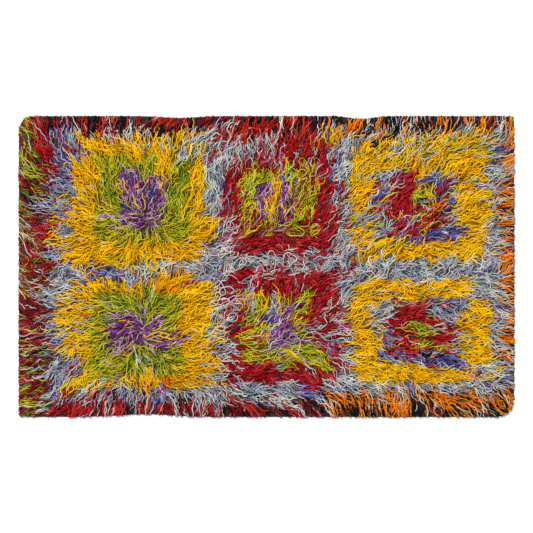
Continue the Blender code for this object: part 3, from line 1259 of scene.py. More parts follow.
@dataclass
class GroundCloth:
    """The woven ground that the pile is knotted into: a flat sheet with a clean edge."""

    outline: Outline
    name: str = "ground-cloth"
    inset: float = 0.002
    thickness: float = 0.0025
    cells_long: int = 44
    cells_wide: int = 27
    thread_pitch: float = 0.006
    weave_shades: tuple[float, float] = (0.8, 1.2)
    slub_scale: float = 90.0
    slub_detail: float = 4.0
    deep: Colour = (24, 21, 22)
    main: Colour = (42, 37, 38)
    pale: Colour = (74, 66, 62)
    roughness: float = 0.92
    bump_strength: float = 0.8
    bump_depth: float = 0.0012

    def build(self) -> bpy.types.Object:
        """Cut the cloth to the rug's outline and give it its thickness.

        Returns:
            The cloth.
        """
        piece = plain_grid(self.name, self.cells_long, self.cells_wide)
        flat = points_of(piece)
        x, y = self.outline.place(flat[:, 0], flat[:, 1], self.inset)
        set_points(piece, np.stack([x, y, np.full_like(x, self.thickness)], axis=1))
        solidify = piece.modifiers.new("thickness", "SOLIDIFY")
        solidify.thickness = self.thickness
        solidify.offset = -1.0
        bpy.ops.object.modifier_apply(modifier=solidify.name)
        give_material(piece, self.material())
        return piece

    def material(self) -> bpy.types.Material:
        """Dye the cloth: dark wool in plain weave, with slubs and worn threads.

        Returns:
            The material.
        """
        material, tree, shader = new_material(self.name)
        graph = Graph(tree)
        place = graph.node("ShaderNodeTexCoord").outputs["Object"]
        parts = graph.node("ShaderNodeSeparateXYZ")
        graph.feed(parts, 0, place)
        warp = self.thread(graph, parts.outputs[0])
        weft = self.thread(graph, parts.outputs[1])
        over = graph.maths("MULTIPLY", warp, weft)
        slub = graph.noise(place, self.slub_scale, self.slub_detail)
        colour = graph.ramp(slub, (0.25, self.deep), (0.8, self.pale), (0.5, self.main))
        weave = graph.grey(graph.remap(over, *self.weave_shades))
        graph.feed(shader, "Base Color", graph.mix("MULTIPLY", 1.0, colour, weave))
        graph.feed(shader, "Roughness", self.roughness)
        relief = graph.maths("ADD", over, slub)
        graph.feed(shader, "Normal", graph.bump(relief, self.bump_strength, self.bump_depth))
        return material

    def thread(self, graph: Graph, along: bpy.types.NodeSocket) -> bpy.types.NodeSocket:
        """Let the cloth rise and fall across its threads."""
        return graph.maths("SINE", graph.maths("MULTIPLY", along, math.pi / self.thread_pitch), 0.0)


@dataclass
class PileBed:
    """The matted pile under the loose yarn: a lumpy slab on the ground cloth."""

    outline: Outline
    relief: Relief
    chart: Chart
    floor: float
    name: str = "pile-bed"
    inset: float = 0.014
    cells_long: int = 116
    cells_wide: int = 70
    wall: float = 1.0
    area_share: float = 0.5
    # Painted shade: the share of its colour that the bed keeps between the strands.
    gap_shade: float = 0.55
    line_scales: tuple[float, float] = (62.0, 105.0)
    line_sharpness: float = 9.0
    line_shades: tuple[float, float] = (0.35, 1.6)
    tuft_scale: float = 45.0
    tuft_detail: float = 2.0
    tuft_shades: tuple[float, float] = (0.6, 1.4)
    roughness: float = 0.95
    bump_depth: float = 0.004

    def build(self) -> bpy.types.Object:
        """Raise a grid to the bed's height and close it down to the ground cloth.

        Returns:
            The bed.
        """
        piece = plain_grid(self.name, self.cells_long, self.cells_wide)
        self.close(piece)
        flat = points_of(piece)
        x, y = self.outline.place(flat[:, 0], flat[:, 1], self.inset)
        top = flat[:, 2] > -self.wall / 2
        z = np.where(top, self.relief.height(x, y), self.floor)
        set_points(piece, np.stack([x, y, z], axis=1))
        piece.data.shade_smooth()
        self.tint(piece, x, y)
        give_material(piece, self.material())
        return piece

    def close(self, piece: bpy.types.Object) -> None:
        """Drop a wall from the rim of the grid and close its underside.

        Args:
            piece: The flat grid.
        """
        bpy.ops.object.mode_set(mode="EDIT")
        bpy.ops.mesh.select_all(action="SELECT")
        bpy.ops.mesh.region_to_loop()
        bpy.ops.mesh.extrude_region_move(TRANSFORM_OT_translate={"value": (0.0, 0.0, -self.wall)})
        bpy.ops.mesh.fill()
        bpy.ops.mesh.select_all(action="SELECT")
        bpy.ops.mesh.normals_make_consistent(inside=False)
        bpy.ops.object.mode_set(mode="OBJECT")

    def tint(self, piece: bpy.types.Object, x: Array, y: Array) -> None:
        """Give each point of the bed the mean colour of the yarns knotted there.

        An area tints the bed if at least half of the strands in it take its yarns.

        Args:
            piece: The bed.
            x: The places of its points along the rug.
            y: The same across the rug.
        """
        # Matted lightens the bed under some yarns, and so the painted shade between their strands.
        colours = {finish.wool: finish.matted * np.array(linear(finish.deep)) for finish in FINISHES}
        found = self.chart.part_at(x, y, self.area_share)
        means = np.array([self.mean_dye(part.mix, colours) for part in self.chart.parts])
        layer = piece.data.color_attributes.new("dye", "FLOAT_COLOR", "POINT")
        layer.data.foreach_set("color", means[found].astype(np.float32).ravel())

    def mean_dye(self, mix: Mix, colours: dict[Wool, Array]) -> Array:
        """Find the mean colour of a mix, darker the more black yarn is in it."""
        mean = sum(share * colours[kind] for kind, share in mix.items()) / sum(mix.values())
        return mean * (1.0 - mix.get(Wool.BLACK, 0.0)) ** 2

    def material(self) -> bpy.types.Material:
        """Dye the bed in the colours of the yarn above it, with painted shade where it shows between the
        strands.

        Returns:
            The material.
        """
        material, tree, shader = new_material(self.name)
        graph = Graph(tree)
        dye = graph.node("ShaderNodeAttribute", attribute_name="dye").outputs["Color"]
        place = graph.node("ShaderNodeTexCoord").outputs["Object"]
        coarse, fine = (self.winding(graph, place, scale) for scale in self.line_scales)
        strands = graph.maths("MAXIMUM", coarse, fine)
        tufts = graph.noise(place, self.tuft_scale, self.tuft_detail)
        # The winding lines are matted yarn, and the darker ground between them is painted shade.
        lines = graph.remap(strands, *self.line_shades)
        light = graph.maths("MULTIPLY", lines, graph.remap(tufts, *self.tuft_shades))
        # Painted shade: the bed is darkened where it shows between the strands.
        light = graph.maths("MULTIPLY", light, self.gap_shade)
        graph.feed(shader, "Base Color", graph.mix("MULTIPLY", 1.0, dye, graph.grey(light)))
        graph.feed(shader, "Roughness", self.roughness)
        graph.feed(shader, "Normal", graph.bump(strands, 1.0, self.bump_depth))
        return material

    def winding(self, graph: Graph, place: bpy.types.NodeSocket, scale: float) -> bpy.types.NodeSocket:
        """Draw winding lines of matted yarn.

        Args:
            graph: The material's graph.
            place: The output that gives the place.
            scale: How close the lines are.

        Returns:
            The output that gives 1 along the middles of the lines and 0 between them.
        """
        off = graph.maths("SUBTRACT", graph.noise(place, scale, 1.0), 0.5)
        off = graph.maths("MULTIPLY", graph.maths("ABSOLUTE", off, 0.0), self.line_sharpness)
        return graph.maths("MAXIMUM", graph.maths("SUBTRACT", 1.0, off), 0.0)


ROOT_STRETCH = 0.8


def stations(count: int) -> Array:
    """Find the shares of a strand's length at which it has points, wider apart near its knot."""
    return np.linspace(0.0, 1.0, count) ** ROOT_STRETCH


@dataclass
class Strands:
    """Some lengths of yarn with the same count of points.

    The paths are one row of points for each strand, and each point has its painted brightness from 0 to 1,
    which paints shade at its root and near the rug's rim. Tones run from 0 to 1. The tips are the shares
    of their radius that the strands keep at their tips.
    """

    paths: Array
    bright: Array
    tones: Array
    wools: Array
    radii: Array
    tips: Array

    def chosen(self, which: Array) -> "Strands":
        """Take only the strands that a mask or some indices pick."""
        rows = (self.paths, self.bright, self.tones, self.wools, self.radii, self.tips)
        return Strands(*(row[which] for row in rows))

    def triangles(self) -> int:
        """Count the triangles that these strands take as three-sided tubes."""
        count, points = self.paths.shape[:2]
        return count * (2 * SIDES * (points - 1) + 2)


@dataclass
class YarnMesh:
    """Joins strands into one mesh of three-sided tubes that taper to their tips."""

    name: str
    finish: YarnFinish
    groups: list[Strands]
    taper_from: float = 0.72
    cell_margin: float = 0.08

    def build(self) -> bpy.types.Object:
        """Make the mesh, its two maps and its strand attribute.

        Returns:
            The piece of yarn.
        """
        points, quads, caps, strand, yarn_map, bake_map = [], [], [], [], [], []
        total = sum(len(group.paths) for group in self.groups)
        cells = math.ceil(math.sqrt(total))
        first_point, first_strand = 0, 0
        for group in self.groups:
            rings = self.rings(group)
            points.append(rings.reshape(-1, 3))
            side, end = self.faces(*group.paths.shape[:2])
            quads.append(side + first_point)
            caps.append(end + first_point)
            strand.append(self.marks(group))
            own, bake = self.maps(group, first_strand, cells)
            yarn_map.append(own)
            bake_map.append(bake)
            first_point += len(points[-1])
            first_strand += len(group.paths)
        return self.assembled(points, quads, caps, strand, yarn_map, bake_map)

    def rings(self, group: Strands) -> Array:
        """Set out the three points round each point of each path, with its ridge uppermost.

        Args:
            group: Some strands.

        Returns:
            The places, by strand, point of its path and side.
        """
        paths = group.paths
        ahead = np.gradient(paths, axis=1)
        ahead /= np.maximum(np.linalg.norm(ahead, axis=2, keepdims=True), TINY)
        right = np.cross(ahead, np.array([0.0, 0.0, 1.0]))
        right /= np.maximum(np.linalg.norm(right, axis=2, keepdims=True), TINY)
        up = np.cross(right, ahead)
        share = stations(paths.shape[1])
        taper = eased((share - self.taper_from) / (1.0 - self.taper_from))
        radius = (group.radii[:, None] * (1.0 - (1.0 - group.tips[:, None]) * taper))[:, :, None]
        turns = math.pi / 2 + math.tau * np.arange(SIDES) / SIDES
        rings = [paths + radius * (math.cos(turn) * right + math.sin(turn) * up) for turn in turns]
        return np.stack(rings, axis=2)

    def faces(self, count: int, rings: int) -> tuple[Array, Array]:
        """Join the points of some tubes with faces.

        Args:
            count: How many tubes there are.
            rings: How many rings of points each has.

        Returns:
            The four-cornered sides and the two ends of each tube, as indices of its points.
        """
        ring = SIDES * np.arange(rings - 1)[:, None]
        here = np.arange(SIDES)[None, :]
        there = (here + 1) % SIDES
        side = np.stack([ring + here, ring + SIDES + here, ring + SIDES + there, ring + there], axis=2)
        start = SIDES * rings * np.arange(count)
        sides = (start[:, None, None] + side.reshape(1, -1, 4)).reshape(-1, 4)
        last = SIDES * (rings - 1)
        end = np.array([[0, 1, 2], [last + 2, last + 1, last]])
        return sides, (start[:, None, None] + end[None]).reshape(-1, 3)

    def marks(self, group: Strands) -> Array:
        """Mark each point of some tubes for the shader.

        Args:
            group: The strands of the tubes.

        Returns:
            For each point, its strand's tone, its painted brightness, and 1 on the ridge, where the
            painted shade of the underside is lightest.
        """
        count, rings = group.paths.shape[:2]
        marks = np.zeros((count, rings, SIDES, 3))
        marks[..., 0] = group.tones[:, None, None]
        marks[..., 1] = group.bright[:, :, None]
        # The ridge is the uppermost side; the shader paints shade on the sides away from it.
        marks[:, :, 0, 2] = 1.0
        return marks.reshape(-1, 3)

    def maps(self, group: Strands, first: int, cells: int) -> tuple[Array, Array]:
        """Map the sides of some tubes.

        Args:
            group: The strands of the tubes.
            first: How many strands of the mesh come before these.
            cells: How many cells the second map has each way.

        Returns:
            The map along and round each strand, and the one with a cell for each strand.
        """
        count, rings = group.paths.shape[:2]
        steps = np.linalg.norm(np.diff(group.paths, axis=1), axis=2)
        run = np.concatenate([np.zeros((count, 1)), np.cumsum(steps, axis=1)], axis=1)
        ring = np.arange(rings - 1)
        corner = np.stack([ring, ring + 1, ring + 1, ring], axis=1)
        corner = np.broadcast_to(corner[:, None, :], (rings - 1, SIDES, 4))
        turned = np.arange(SIDES)[:, None] / SIDES + np.array([0.0, 0.0, 1.0, 1.0])[None, :] / SIDES
        turned = np.broadcast_to(turned[None], (rings - 1, SIDES, 4))
        along = run[:, corner]
        around = np.broadcast_to(turned[None], along.shape)
        share = np.broadcast_to((corner / (rings - 1))[None], along.shape)
        own = np.stack([along, around], axis=-1).reshape(count, -1, 2)
        inner = 1.0 - 2 * self.cell_margin
        number = first + np.arange(count)
        column = (number % cells)[:, None, None, None]
        row = (number // cells)[:, None, None, None]
        u = (column + self.cell_margin + inner * share) / cells
        v = (row + self.cell_margin + inner * around) / cells
        bake = np.stack([u, v], axis=-1).reshape(count, -1, 2)
        return own, bake

    def assembled(
        self,
        points: list[Array],
        quads: list[Array],
        caps: list[Array],
        strand: list[Array],
        yarn_map: list[Array],
        bake_map: list[Array],
    ) -> bpy.types.Object:
        """Put the arrays of all groups into one mesh.

        Args:
            points: The places of the points.
            quads: The sides of the tubes.
            caps: Their ends.
            strand: The marks of the points.
            yarn_map: The maps along and round the strands.
            bake_map: The maps with a cell for each strand.

        Returns:
            The piece of yarn.
        """
        place = np.concatenate(points).astype(np.float32)
        sides, ends = np.concatenate(quads), np.concatenate(caps)
        mesh = bpy.data.meshes.new(self.name)
        mesh.vertices.add(len(place))
        mesh.vertices.foreach_set("co", place.ravel())
        loops = np.concatenate([sides.ravel(), ends.ravel()]).astype(np.int32)
        mesh.loops.add(len(loops))
        mesh.loops.foreach_set("vertex_index", loops)
        sizes = np.concatenate([np.full(len(sides), 4), np.full(len(ends), 3)])
        starts = np.concatenate([[0], np.cumsum(sizes)[:-1]]).astype(np.int32)
        mesh.polygons.add(len(sizes))
        mesh.polygons.foreach_set("loop_start", starts)
        mesh.update(calc_edges=True)
        mesh.polygons.foreach_set("use_smooth", np.ones(len(sizes), bool))
        marks = mesh.attributes.new("strand", "FLOAT_VECTOR", "POINT")
        marks.data.foreach_set("vector", np.concatenate(strand).astype(np.float32).ravel())
        for name, rows in (("yarn", yarn_map), ("OFBake", bake_map)):
            self.write_map(mesh, name, rows, len(ends))
        mesh.validate()
        piece = bpy.data.objects.new(self.name, mesh)
        bpy.context.scene.collection.objects.link(piece)
        give_material(piece, self.finish.material())
        return piece

    def write_map(self, mesh: bpy.types.Mesh, name: str, rows: list[Array], ends: int) -> None:
        """Write a map of the sides, and give each end its strand's outermost places.

        Args:
            mesh: The mesh.
            name: The map's name.
            rows: The map of the sides in each group.
            ends: How many ends of tubes the mesh has; not used.
        """
        sides = np.concatenate([row.reshape(-1, 2) for row in rows])
        caps = []
        for row in rows:
            per_ring = row.reshape(len(row), -1, SIDES, 4, 2)
            own = np.stack([per_ring[:, 0, :, 0], per_ring[:, -1, ::-1, 1]], axis=1)
            caps.append(own.reshape(-1, 2))
        layer = mesh.uv_layers.new(name=name)
        values = np.concatenate([sides, *caps]).astype(np.float32)
        layer.uv.foreach_set("vector", values.ravel())


@dataclass(frozen=True)
class Layer:
    """A layer of the pile: how its locks are set out, and how its yarn runs.

    The leans are in radians, a curl is in radians for each metre, and a wave's height is how
    far the yarn turns in it, in radians. The hold is the share of its turn back to the comb
    that a strand makes at each step. The yarn of a looped layer lies only in the patches of
    loops, and all of it is curled.
    """

    name: str
    spacing: float
    yarns: int
    lock_radius: float
    lengths: tuple[float, float]
    lock_lean: float
    yarn_lean: float
    kink: tuple[float, float]
    kink_wave: tuple[float, float]
    bend: tuple[float, float]
    bend_wave: tuple[float, float]
    curl_share: float
    curl: float
    segment: float
    rise: tuple[float, float]
    hold: float = 0.13
    looped: bool = False


MATTED_LAYER = Layer(
    name="matted",
    spacing=0.0285,
    yarns=4,
    lock_radius=0.016,
    lengths=(0.040, 0.085),
    lock_lean=0.30,
    yarn_lean=0.34,
    kink=(0.4, 1.0),
    kink_wave=(0.022, 0.036),
    bend=(0.1, 0.6),
    bend_wave=(0.045, 0.09),
    curl_share=0.25,
    curl=24.0,
    segment=0.0082,
    rise=(0.0, 0.006),
)
COMBED_LAYER = Layer(
    name="combed",
    spacing=0.050,
    yarns=4,
    lock_radius=0.020,
    lengths=(0.085, 0.180),
    lock_lean=0.18,
    yarn_lean=0.16,
    kink=(0.2, 0.6),
    kink_wave=(0.026, 0.044),
    bend=(0.2, 0.7),
    bend_wave=(0.06, 0.13),
    curl_share=0.16,
    curl=26.0,
    segment=0.0088,
    rise=(0.004, 0.009),
)
LOOPED_LAYER = Layer(
    name="looped",
    spacing=0.034,
    yarns=1,
    lock_radius=0.004,
    lengths=(0.150, 0.230),
    lock_lean=0.90,
    yarn_lean=0.30,
    kink=(0.1, 0.3),
    kink_wave=(0.026, 0.044),
    bend=(0.4, 0.9),
    bend_wave=(0.07, 0.12),
    curl_share=1.0,
    curl=42.0,
    segment=0.0088,
    rise=(0.009, 0.012),
    hold=0.0,
    looped=True,
)


@dataclass
class Pile:
    """The loose yarn of the pile: matted short yarn, longer yarn combed over it, and some loops.

    Its shares are of a strand's length from its root. An inset is how far inside the outline
    that end of a strand has to stay, and a reach is how far in from an edge its effect is felt.
    """

    outline: Outline
    comb: Comb
    chart: Chart
    relief: Relief
    rng: np.random.Generator
    layers: tuple[Layer, ...] = (MATTED_LAYER, COMBED_LAYER, LOOPED_LAYER)
    step: float = 0.006
    root_share: float = 0.40
    shown_share: float = 0.60
    loose_curl: float = 28.0
    radius: float = 0.0031
    wave_height: float = 0.0022
    yarn_rise: float = 0.0035
    hidden_share: float = 0.12
    rise_share: float = 0.26
    root_depth: float = 0.005
    droop: float = 0.45
    droop_from: float = 0.75
    alike: float = 0.62
    alike_at_long_edge: float = 0.28
    alike_at_short_edge: float = -0.40
    long_edge_reach: float = 0.08
    short_edge_reach: float = 0.16
    free_tip: float = 0.35
    trimmed_tip: float = 0.95
    calm_at_rim: float = 0.50
    calm_reach: float = 0.13
    # Painted shade near the rug's rim, where the pile turns down: how much darker the yarn gets there, and
    # how far in it reaches.
    rim_shade: float = 0.40
    rim_shade_reach: float = 0.030
    net_squash: float = 0.9
    net_scatter: float = 0.45
    knot_inset: float = 0.004
    root_inset: float = 0.008
    tip_inset: float = 0.0005
    tip_scatter: float = 0.005
    shortest: float = 0.025
    kink_likeness: tuple[float, float] = (0.94, 1.06)
    kink_shift: float = 0.6
    loop_curl: tuple[float, float] = (0.6, 1.2)
    segments: tuple[int, int] = (4, 22)
    radius_range: tuple[float, float] = (0.78, 1.22)
    wave_run: float = 0.011
    rim_reach: float = 0.05
    rim_lift: float = 0.35
    clearance: float = 1.05
    most_triangles: int = 195_000

    def locks(self, spacing: float) -> tuple[Array, Array]:
        """Set out the middles of a layer's locks, on an uneven net inside the outline.

        Args:
            spacing: How far apart the locks are along the rug.

        Returns:
            The x and the y of each lock.
        """
        across = np.arange(-self.outline.half_x, self.outline.half_x, spacing)
        up = np.arange(-self.outline.half_y, self.outline.half_y, spacing * self.net_squash)
        x, y = (grid.ravel() for grid in np.meshgrid(across, up))
        x = x + self.rng.uniform(-self.net_scatter, self.net_scatter, len(x)) * spacing
        y = y + self.rng.uniform(-self.net_scatter, self.net_scatter, len(y)) * spacing
        kept = self.outline.depth(x, y) > self.knot_inset
        return x[kept], y[kept]

    def lay(self, layer: Layer) -> list[Strands]:
        """Comb every strand of a layer from its knot to its tip.

        Args:
            layer: The layer to lay.

        Returns:
            The strands, in groups of the same count of points.
        """
        lock_x, lock_y = self.locks(layer.spacing)
        if layer.looped:
            held = self.loop_patch(lock_x, lock_y)[1] < 1.0
            lock_x, lock_y = lock_x[held], lock_y[held]
        lock = np.repeat(np.arange(len(lock_x)), layer.yarns)
        count = len(lock)
        rng = self.rng
        turn = rng.uniform(0.0, math.tau, count)
        out = layer.lock_radius * np.sqrt(rng.uniform(0.0, 1.0, count))
        x = lock_x[lock] + out * np.cos(turn)
        y = lock_y[lock] + out * np.sin(turn)
        inside = self.outline.depth(x, y) > self.knot_inset
        x, y, lock = x[inside], y[inside], lock[inside]
        length = rng.uniform(*layer.lengths, len(x))
        track, middle = self.combed(layer, x, y, lock)
        root = np.minimum(length * self.root_share, self.room(track[:, middle::-1], self.root_inset))
        tip_margin = rng.uniform(0.0, 1.0, len(x)) ** 2 * self.tip_scatter + self.tip_inset
        free = length * (1 - self.root_share)
        tip = np.minimum(free, self.room(track[:, middle:], tip_margin))
        tips = np.where(tip < free, self.trimmed_tip, self.free_tip)
        kept = root + tip > self.shortest
        start = middle * self.step - root
        LOG.info("%s: %d strands in %d locks", layer.name, int(kept.sum()), len(lock_x))
        whole = root + tip
        return self.grouped(layer, track[kept], start[kept], whole[kept], lock[kept], tips[kept])

    def loop_patch(self, x: Array, y: Array) -> tuple[Array, Array]:
        """Find the nearest patch of loops to some places, and how far out in it they are."""
        away = np.stack([patch.away(x, y) for patch in LOOP_PATCHES])
        return away.argmin(axis=0), away.min(axis=0)

    def combed(self, layer: Layer, x: Array, y: Array, lock: Array) -> tuple[Array, int]:
        """Follow the comb both ways from where each strand is set out.

        Args:
            layer: The layer that the strands belong to.
            x: The places at which they are set out along the rug.
            y: The same across the rug.
            lock: The index of each strand's lock.

        Returns:
            The track of each strand in even steps, root first, and the index of its middle.
        """
        rng = self.rng
        count = len(x)
        locks = int(lock.max()) + 1
        steps = int(layer.lengths[1] * (1 - self.root_share) / self.step) + 2
        kink = rng.uniform(*layer.kink, locks)[lock]
        kink_wave = rng.uniform(*layer.kink_wave, locks)[lock] * rng.uniform(*self.kink_likeness, count)
        kink_start = rng.uniform(0.0, math.tau, locks)[lock]
        kink_start = kink_start + rng.uniform(-self.kink_shift, self.kink_shift, count)
        bend = rng.uniform(*layer.bend, count)
        bend_wave = rng.uniform(*layer.bend_wave, count)
        bend_start = rng.uniform(0.0, math.tau, count)
        loose = self.comb.matted(x, y)
        calm = 1.0 - self.calm_at_rim * (1.0 - eased(self.outline.depth(x, y) / self.calm_reach))
        lean = rng.normal(0.0, layer.lock_lean, locks)[lock] + rng.normal(0.0, layer.yarn_lean, count)
        lean = lean * calm
        curled = rng.uniform(0.0, 1.0, count) < layer.curl_share
        curl = np.where(curled, rng.uniform(-layer.curl, layer.curl, count), 0.0)
        curl += loose * rng.uniform(-self.loose_curl, self.loose_curl, count)
        if layer.looped:
            curl = np.sign(curl) * layer.curl * rng.uniform(*self.loop_curl, count)
        halves = []
        for side in (-1, 1):
            px, py = x, y
            angle = self.comb.heading(x, y) + lean
            dx, dy = np.cos(angle), np.sin(angle)
            half = []
            for index in range(steps):
                run = side * self.step * (index + 0.5)
                wiggle = kink * np.sin(math.tau * run / kink_wave + kink_start)
                wiggle += bend * np.sin(math.tau * run / bend_wave + bend_start) + curl * run
                course = np.arctan2(dy, dx) + wiggle * calm
                px = px + side * self.step * np.cos(course)
                py = py + side * self.step * np.sin(course)
                half.append(np.stack([px, py], axis=1))
                angle = self.comb.heading(px, py) + lean
                dx = dx + layer.hold * (np.cos(angle) - dx)
                dy = dy + layer.hold * (np.sin(angle) - dy)
            halves.append(half)
        track = halves[0][::-1] + [np.stack([x, y], axis=1)] + halves[1]
        return np.stack(track, axis=1), steps

    def room(self, track: Array, margin: Array | float) -> Array:
        """Find how far along its track each strand comes near the outline.

        Args:
            track: The track of each strand in even steps.
            margin: How far inside the outline each strand has to end.

        Returns:
            The distance along each track, at most its whole length.
        """
        depth = self.outline.depth(track[..., 0], track[..., 1])
        outside = depth < np.broadcast_to(margin, len(track))[:, None]
        first = np.where(outside.any(axis=1), outside.argmax(axis=1), track.shape[1])
        rows = np.arange(len(track))
        last = np.maximum(first - 1, 0)
        near, far = depth[rows, last], depth[rows, np.minimum(first, track.shape[1] - 1)]
        part = np.clip((near - margin) / np.maximum(near - far, TINY), 0.0, 1.0)
        return (last + np.where(first < track.shape[1], part, 0.0)) * self.step

    def grouped(
        self, layer: Layer, track: Array, start: Array, length: Array, lock: Array, tips: Array
    ) -> list[Strands]:
        """Cut each track at its ends, give it its height and its yarn, and sort by size.

        Args:
            layer: The layer that the strands belong to.
            track: The track of each strand in even steps.
            start: How far along its track each strand has its root.
            length: How long each strand is.
            lock: The index of each strand's lock.
            tips: The share of its radius that each strand keeps at its tip.

        Returns:
            The strands, in groups of the same count of points.
        """
        rng = self.rng
        count = len(lock)
        segments = np.clip(np.round(length / layer.segment), *self.segments).astype(int)
        locks = int(lock.max()) + 1
        tone = (rng.uniform(0.0, 1.0, locks)[lock] + rng.uniform(0.0, 1.0, count)) / 2
        shown = self.at_run(track, (start + self.shown_share * length)[:, None])[:, 0]
        shared = rng.uniform(0.0, 1.0, count) < self.likeness(shown[:, 0], shown[:, 1])
        draw = np.where(shared, rng.uniform(0.0, 1.0, locks)[lock], rng.uniform(0.0, 1.0, count))
        taken = rng.uniform(0.0, 1.0, locks)[lock]
        height = rng.uniform(*layer.rise, locks)[lock] + rng.uniform(0.0, self.yarn_rise, count)
        phase = rng.uniform(0.0, math.tau, count)
        radii = self.radius * rng.uniform(*self.radius_range, count)
        wools = self.chart.wool_at(shown[:, 0], shown[:, 1], draw, taken)
        if layer.looped:
            middle = track[:, track.shape[1] // 2]
            yarns = np.array([WOOLS.index(patch.wool) for patch in LOOP_PATCHES])
            wools = yarns[self.loop_patch(middle[:, 0], middle[:, 1])[0]]
        groups = []
        for size in np.unique(segments):
            here = segments == size
            share = stations(size + 1)
            runs = start[here][:, None] + length[here][:, None] * share[None, :]
            flat = self.at_run(track[here], runs)
            wave = self.wave_height * np.sin(runs / self.wave_run + phase[here][:, None])
            paths = self.raised(flat, share, height[here][:, None] + wave, radii[here])
            depth = self.outline.depth(flat[..., 0], flat[..., 1])
            # Painted shade: each point is darker towards its strand's root and near the rug's rim.
            bright = share[None, :] * (1.0 - self.rim_shade * (1.0 - eased(depth / self.rim_shade_reach)))
            groups.append(Strands(paths, bright, tone[here], wools[here], radii[here], tips[here]))
        return groups

    def likeness(self, x: Array, y: Array) -> Array:
        """Find how many of the strands take their lock's yarn rather than one of their own.

        Args:
            x: Places along the rug.
            y: Places across the rug.

        Returns:
            A share for each place.
        """
        near_long = 1.0 - eased((self.outline.half_y - np.abs(y)) / self.long_edge_reach)
        near_short = 1.0 - eased((self.outline.half_x - np.abs(x)) / self.short_edge_reach)
        at_long_edge = self.alike_at_long_edge * near_long
        return self.alike + at_long_edge + self.alike_at_short_edge * near_short

    def at_run(self, track: Array, run: Array) -> Array:
        """Find the places on some tracks at some distances along them.

        Args:
            track: The track of each strand in even steps.
            run: The distances along each track.

        Returns:
            The places, by strand and distance.
        """
        place = np.clip(run / self.step, 0.0, track.shape[1] - SHORT_OF_END)
        low = place.astype(int)
        share = (place - low)[..., None]
        rows = np.arange(len(track))[:, None]
        return track[rows, low] * (1 - share) + track[rows, low + 1] * share

    def raised(self, flat: Array, share: Array, risen: Array, radii: Array) -> Array:
        """Lay flat paths over the bed, each rising from its knot to its own height.

        Args:
            flat: The places of each strand's points, along and across the rug.
            share: The share of its strand's length at which each point is.
            risen: How high over the bed each point lies once the strand has risen.
            radii: The radius of each strand.

        Returns:
            The points of each strand's path.
        """
        x, y = flat[..., 0], flat[..., 1]
        bed = self.relief.height(x, y)
        rise = eased((share - self.hidden_share) / self.rise_share)[None, :]
        droop = 1.0 - self.droop * eased((share - self.droop_from) / (1.0 - self.droop_from))[None, :]
        lift = -self.root_depth * (1 - rise) + risen * rise * droop
        off_rim = eased(self.outline.depth(x, y) / self.rim_reach)
        z = bed + lift * (self.rim_lift + (1 - self.rim_lift) * off_rim) + radii[:, None]
        return np.stack([x, y, np.maximum(z, radii[:, None] * self.clearance)], axis=2)

    def build(self) -> list[bpy.types.Object]:
        """Make the yarn pieces: each wool's strands, in as many pieces as its size needs.

        Returns:
            The pieces.
        """
        groups = [group for layer in self.layers for group in self.lay(layer)]
        pieces = []
        for finish in FINISHES:
            kind = WOOLS.index(finish.wool)
            own = [group.chosen(group.wools == kind) for group in groups]
            own = [group for group in own if len(group.paths)]
            total = sum(group.triangles() for group in own)
            parts = max(1, math.ceil(total / self.most_triangles))
            for part in range(parts):
                name = f"{finish.wool.value}-yarn" + (f"-{part + 1}" if parts > 1 else "")
                share = [self.slice(group, part, parts) for group in own]
                share = [group for group in share if len(group.paths)]
                piece = YarnMesh(name, finish, share).build()
                pieces.append(piece)
                LOG.info("%s: %d strands", name, sum(len(group.paths) for group in share))
        return pieces

    def slice(self, group: Strands, part: int, parts: int) -> Strands:
        """Take one of several equal shares of some strands.

        Args:
            group: The strands.
            part: The index of the share, from west to east.
            parts: How many shares there are.

        Returns:
            The strands of that share.
        """
        order = np.argsort(group.paths[:, 0, 0], kind="stable")
        edges = np.linspace(0, len(order), parts + 1).astype(int)
        return group.chosen(order[edges[part] : edges[part + 1]])


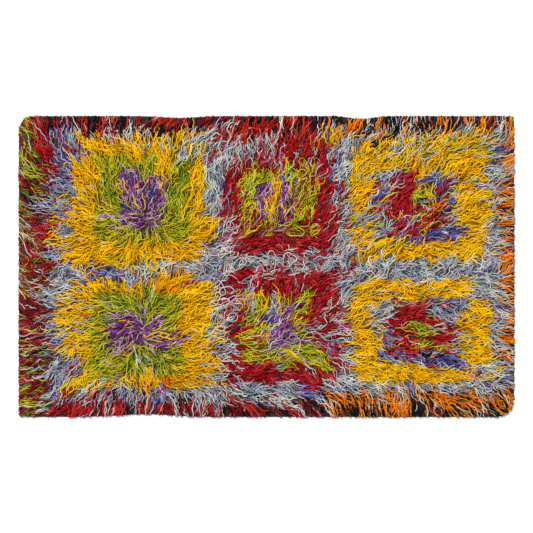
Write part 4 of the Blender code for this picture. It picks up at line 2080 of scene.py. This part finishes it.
@dataclass
class Studio:
    """A pale floor, soft light from above, and a camera that looks straight down."""

    frame_width: float = 2.1256
    lens: float = 100.0
    sensor: float = 36.0
    middle_height: float = 0.006
    clip_end: float = 50.0
    floor_half: float = 15.0
    floor_drop: float = 0.0005
    floor_tone: float = 0.86
    floor_roughness: float = 0.9
    floor_specular: float = 0.1
    sky_strength: float = 0.58
    sun_energy: float = 3.2
    sun_width: float = 14.0
    sun_tilt: float = 40.0
    sun_turn: float = -145.0

    def build(self) -> None:
        """Lay the floor, hang the lights and place the camera."""
        self.floor()
        self.world()
        self.sun()
        self.camera()
        bpy.context.scene.view_settings.view_transform = "Standard"
        bpy.context.scene.view_settings.look = "None"

    def floor(self) -> None:
        """Lay a pale floor that reaches past every view."""
        deselect_all()
        place = (0.0, 0.0, -self.floor_drop)
        bpy.ops.mesh.primitive_plane_add(size=2 * self.floor_half, location=place)
        floor = bpy.context.active_object
        floor.name = "floor"
        material, _, shader = new_material("pale-floor")
        tone = self.floor_tone
        shader.inputs["Base Color"].default_value = (tone, tone, tone, 1.0)
        shader.inputs["Roughness"].default_value = self.floor_roughness
        shader.inputs["Specular IOR Level"].default_value = self.floor_specular
        give_material(floor, material)

    def world(self) -> None:
        """Shed even white light from all round."""
        world = bpy.data.worlds.new("studio")
        world.use_nodes = True
        sky = world.node_tree.nodes["Background"]
        sky.inputs["Color"].default_value = (1.0, 1.0, 1.0, 1.0)
        sky.inputs["Strength"].default_value = self.sky_strength
        bpy.context.scene.world = world

    def sun(self) -> None:
        """Hang a soft key light at the far left, as even over the floor as over the rug."""
        data = bpy.data.lights.new("key", "SUN")
        data.energy = self.sun_energy
        data.angle = math.radians(self.sun_width)
        sun = bpy.data.objects.new("key", data)
        sun.rotation_euler = (math.radians(self.sun_tilt), 0.0, math.radians(self.sun_turn))
        bpy.context.scene.collection.objects.link(sun)

    def camera(self) -> None:
        """Place the camera over the rug, at the height from which the frame fits."""
        data = bpy.data.cameras.new("camera")
        data.lens = self.lens
        data.sensor_width = self.sensor
        data.clip_end = self.clip_end
        camera = bpy.data.objects.new("camera", data)
        height = self.frame_width * self.lens / self.sensor
        camera.location = (0.0, 0.0, self.middle_height + height)
        bpy.context.scene.collection.objects.link(camera)
        bpy.context.scene.camera = camera


def main() -> None:
    """Build the rug's pieces in order, and set up the studio."""
    logging.basicConfig(level=logging.INFO, format="%(name)s: %(message)s")
    low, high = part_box(NODE)
    outline = Outline(half_x=(high[0] - low[0]) / 2, half_y=(high[1] - low[1]) / 2)
    comb = Comb(outline, np.random.default_rng(SEED))
    chart = Chart(np.random.default_rng(SEED + 1))
    relief = Relief(outline, np.random.default_rng(SEED + 2))
    Studio().build()
    ground = GroundCloth(outline)
    cloth = ground.build()
    bed = PileBed(outline, relief, chart, floor=ground.thickness).build()
    yarns = Pile(outline, comb, chart, relief, np.random.default_rng(SEED + 3)).build()
    for piece in (cloth, bed, *yarns):
        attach(piece, BODY)
        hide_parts(NODE)
        piece.data.calc_loop_triangles()
        LOG.info("%s: %d triangles", piece.name, len(piece.data.loop_triangles))
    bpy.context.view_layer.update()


if __name__ == "__main__":
    main()
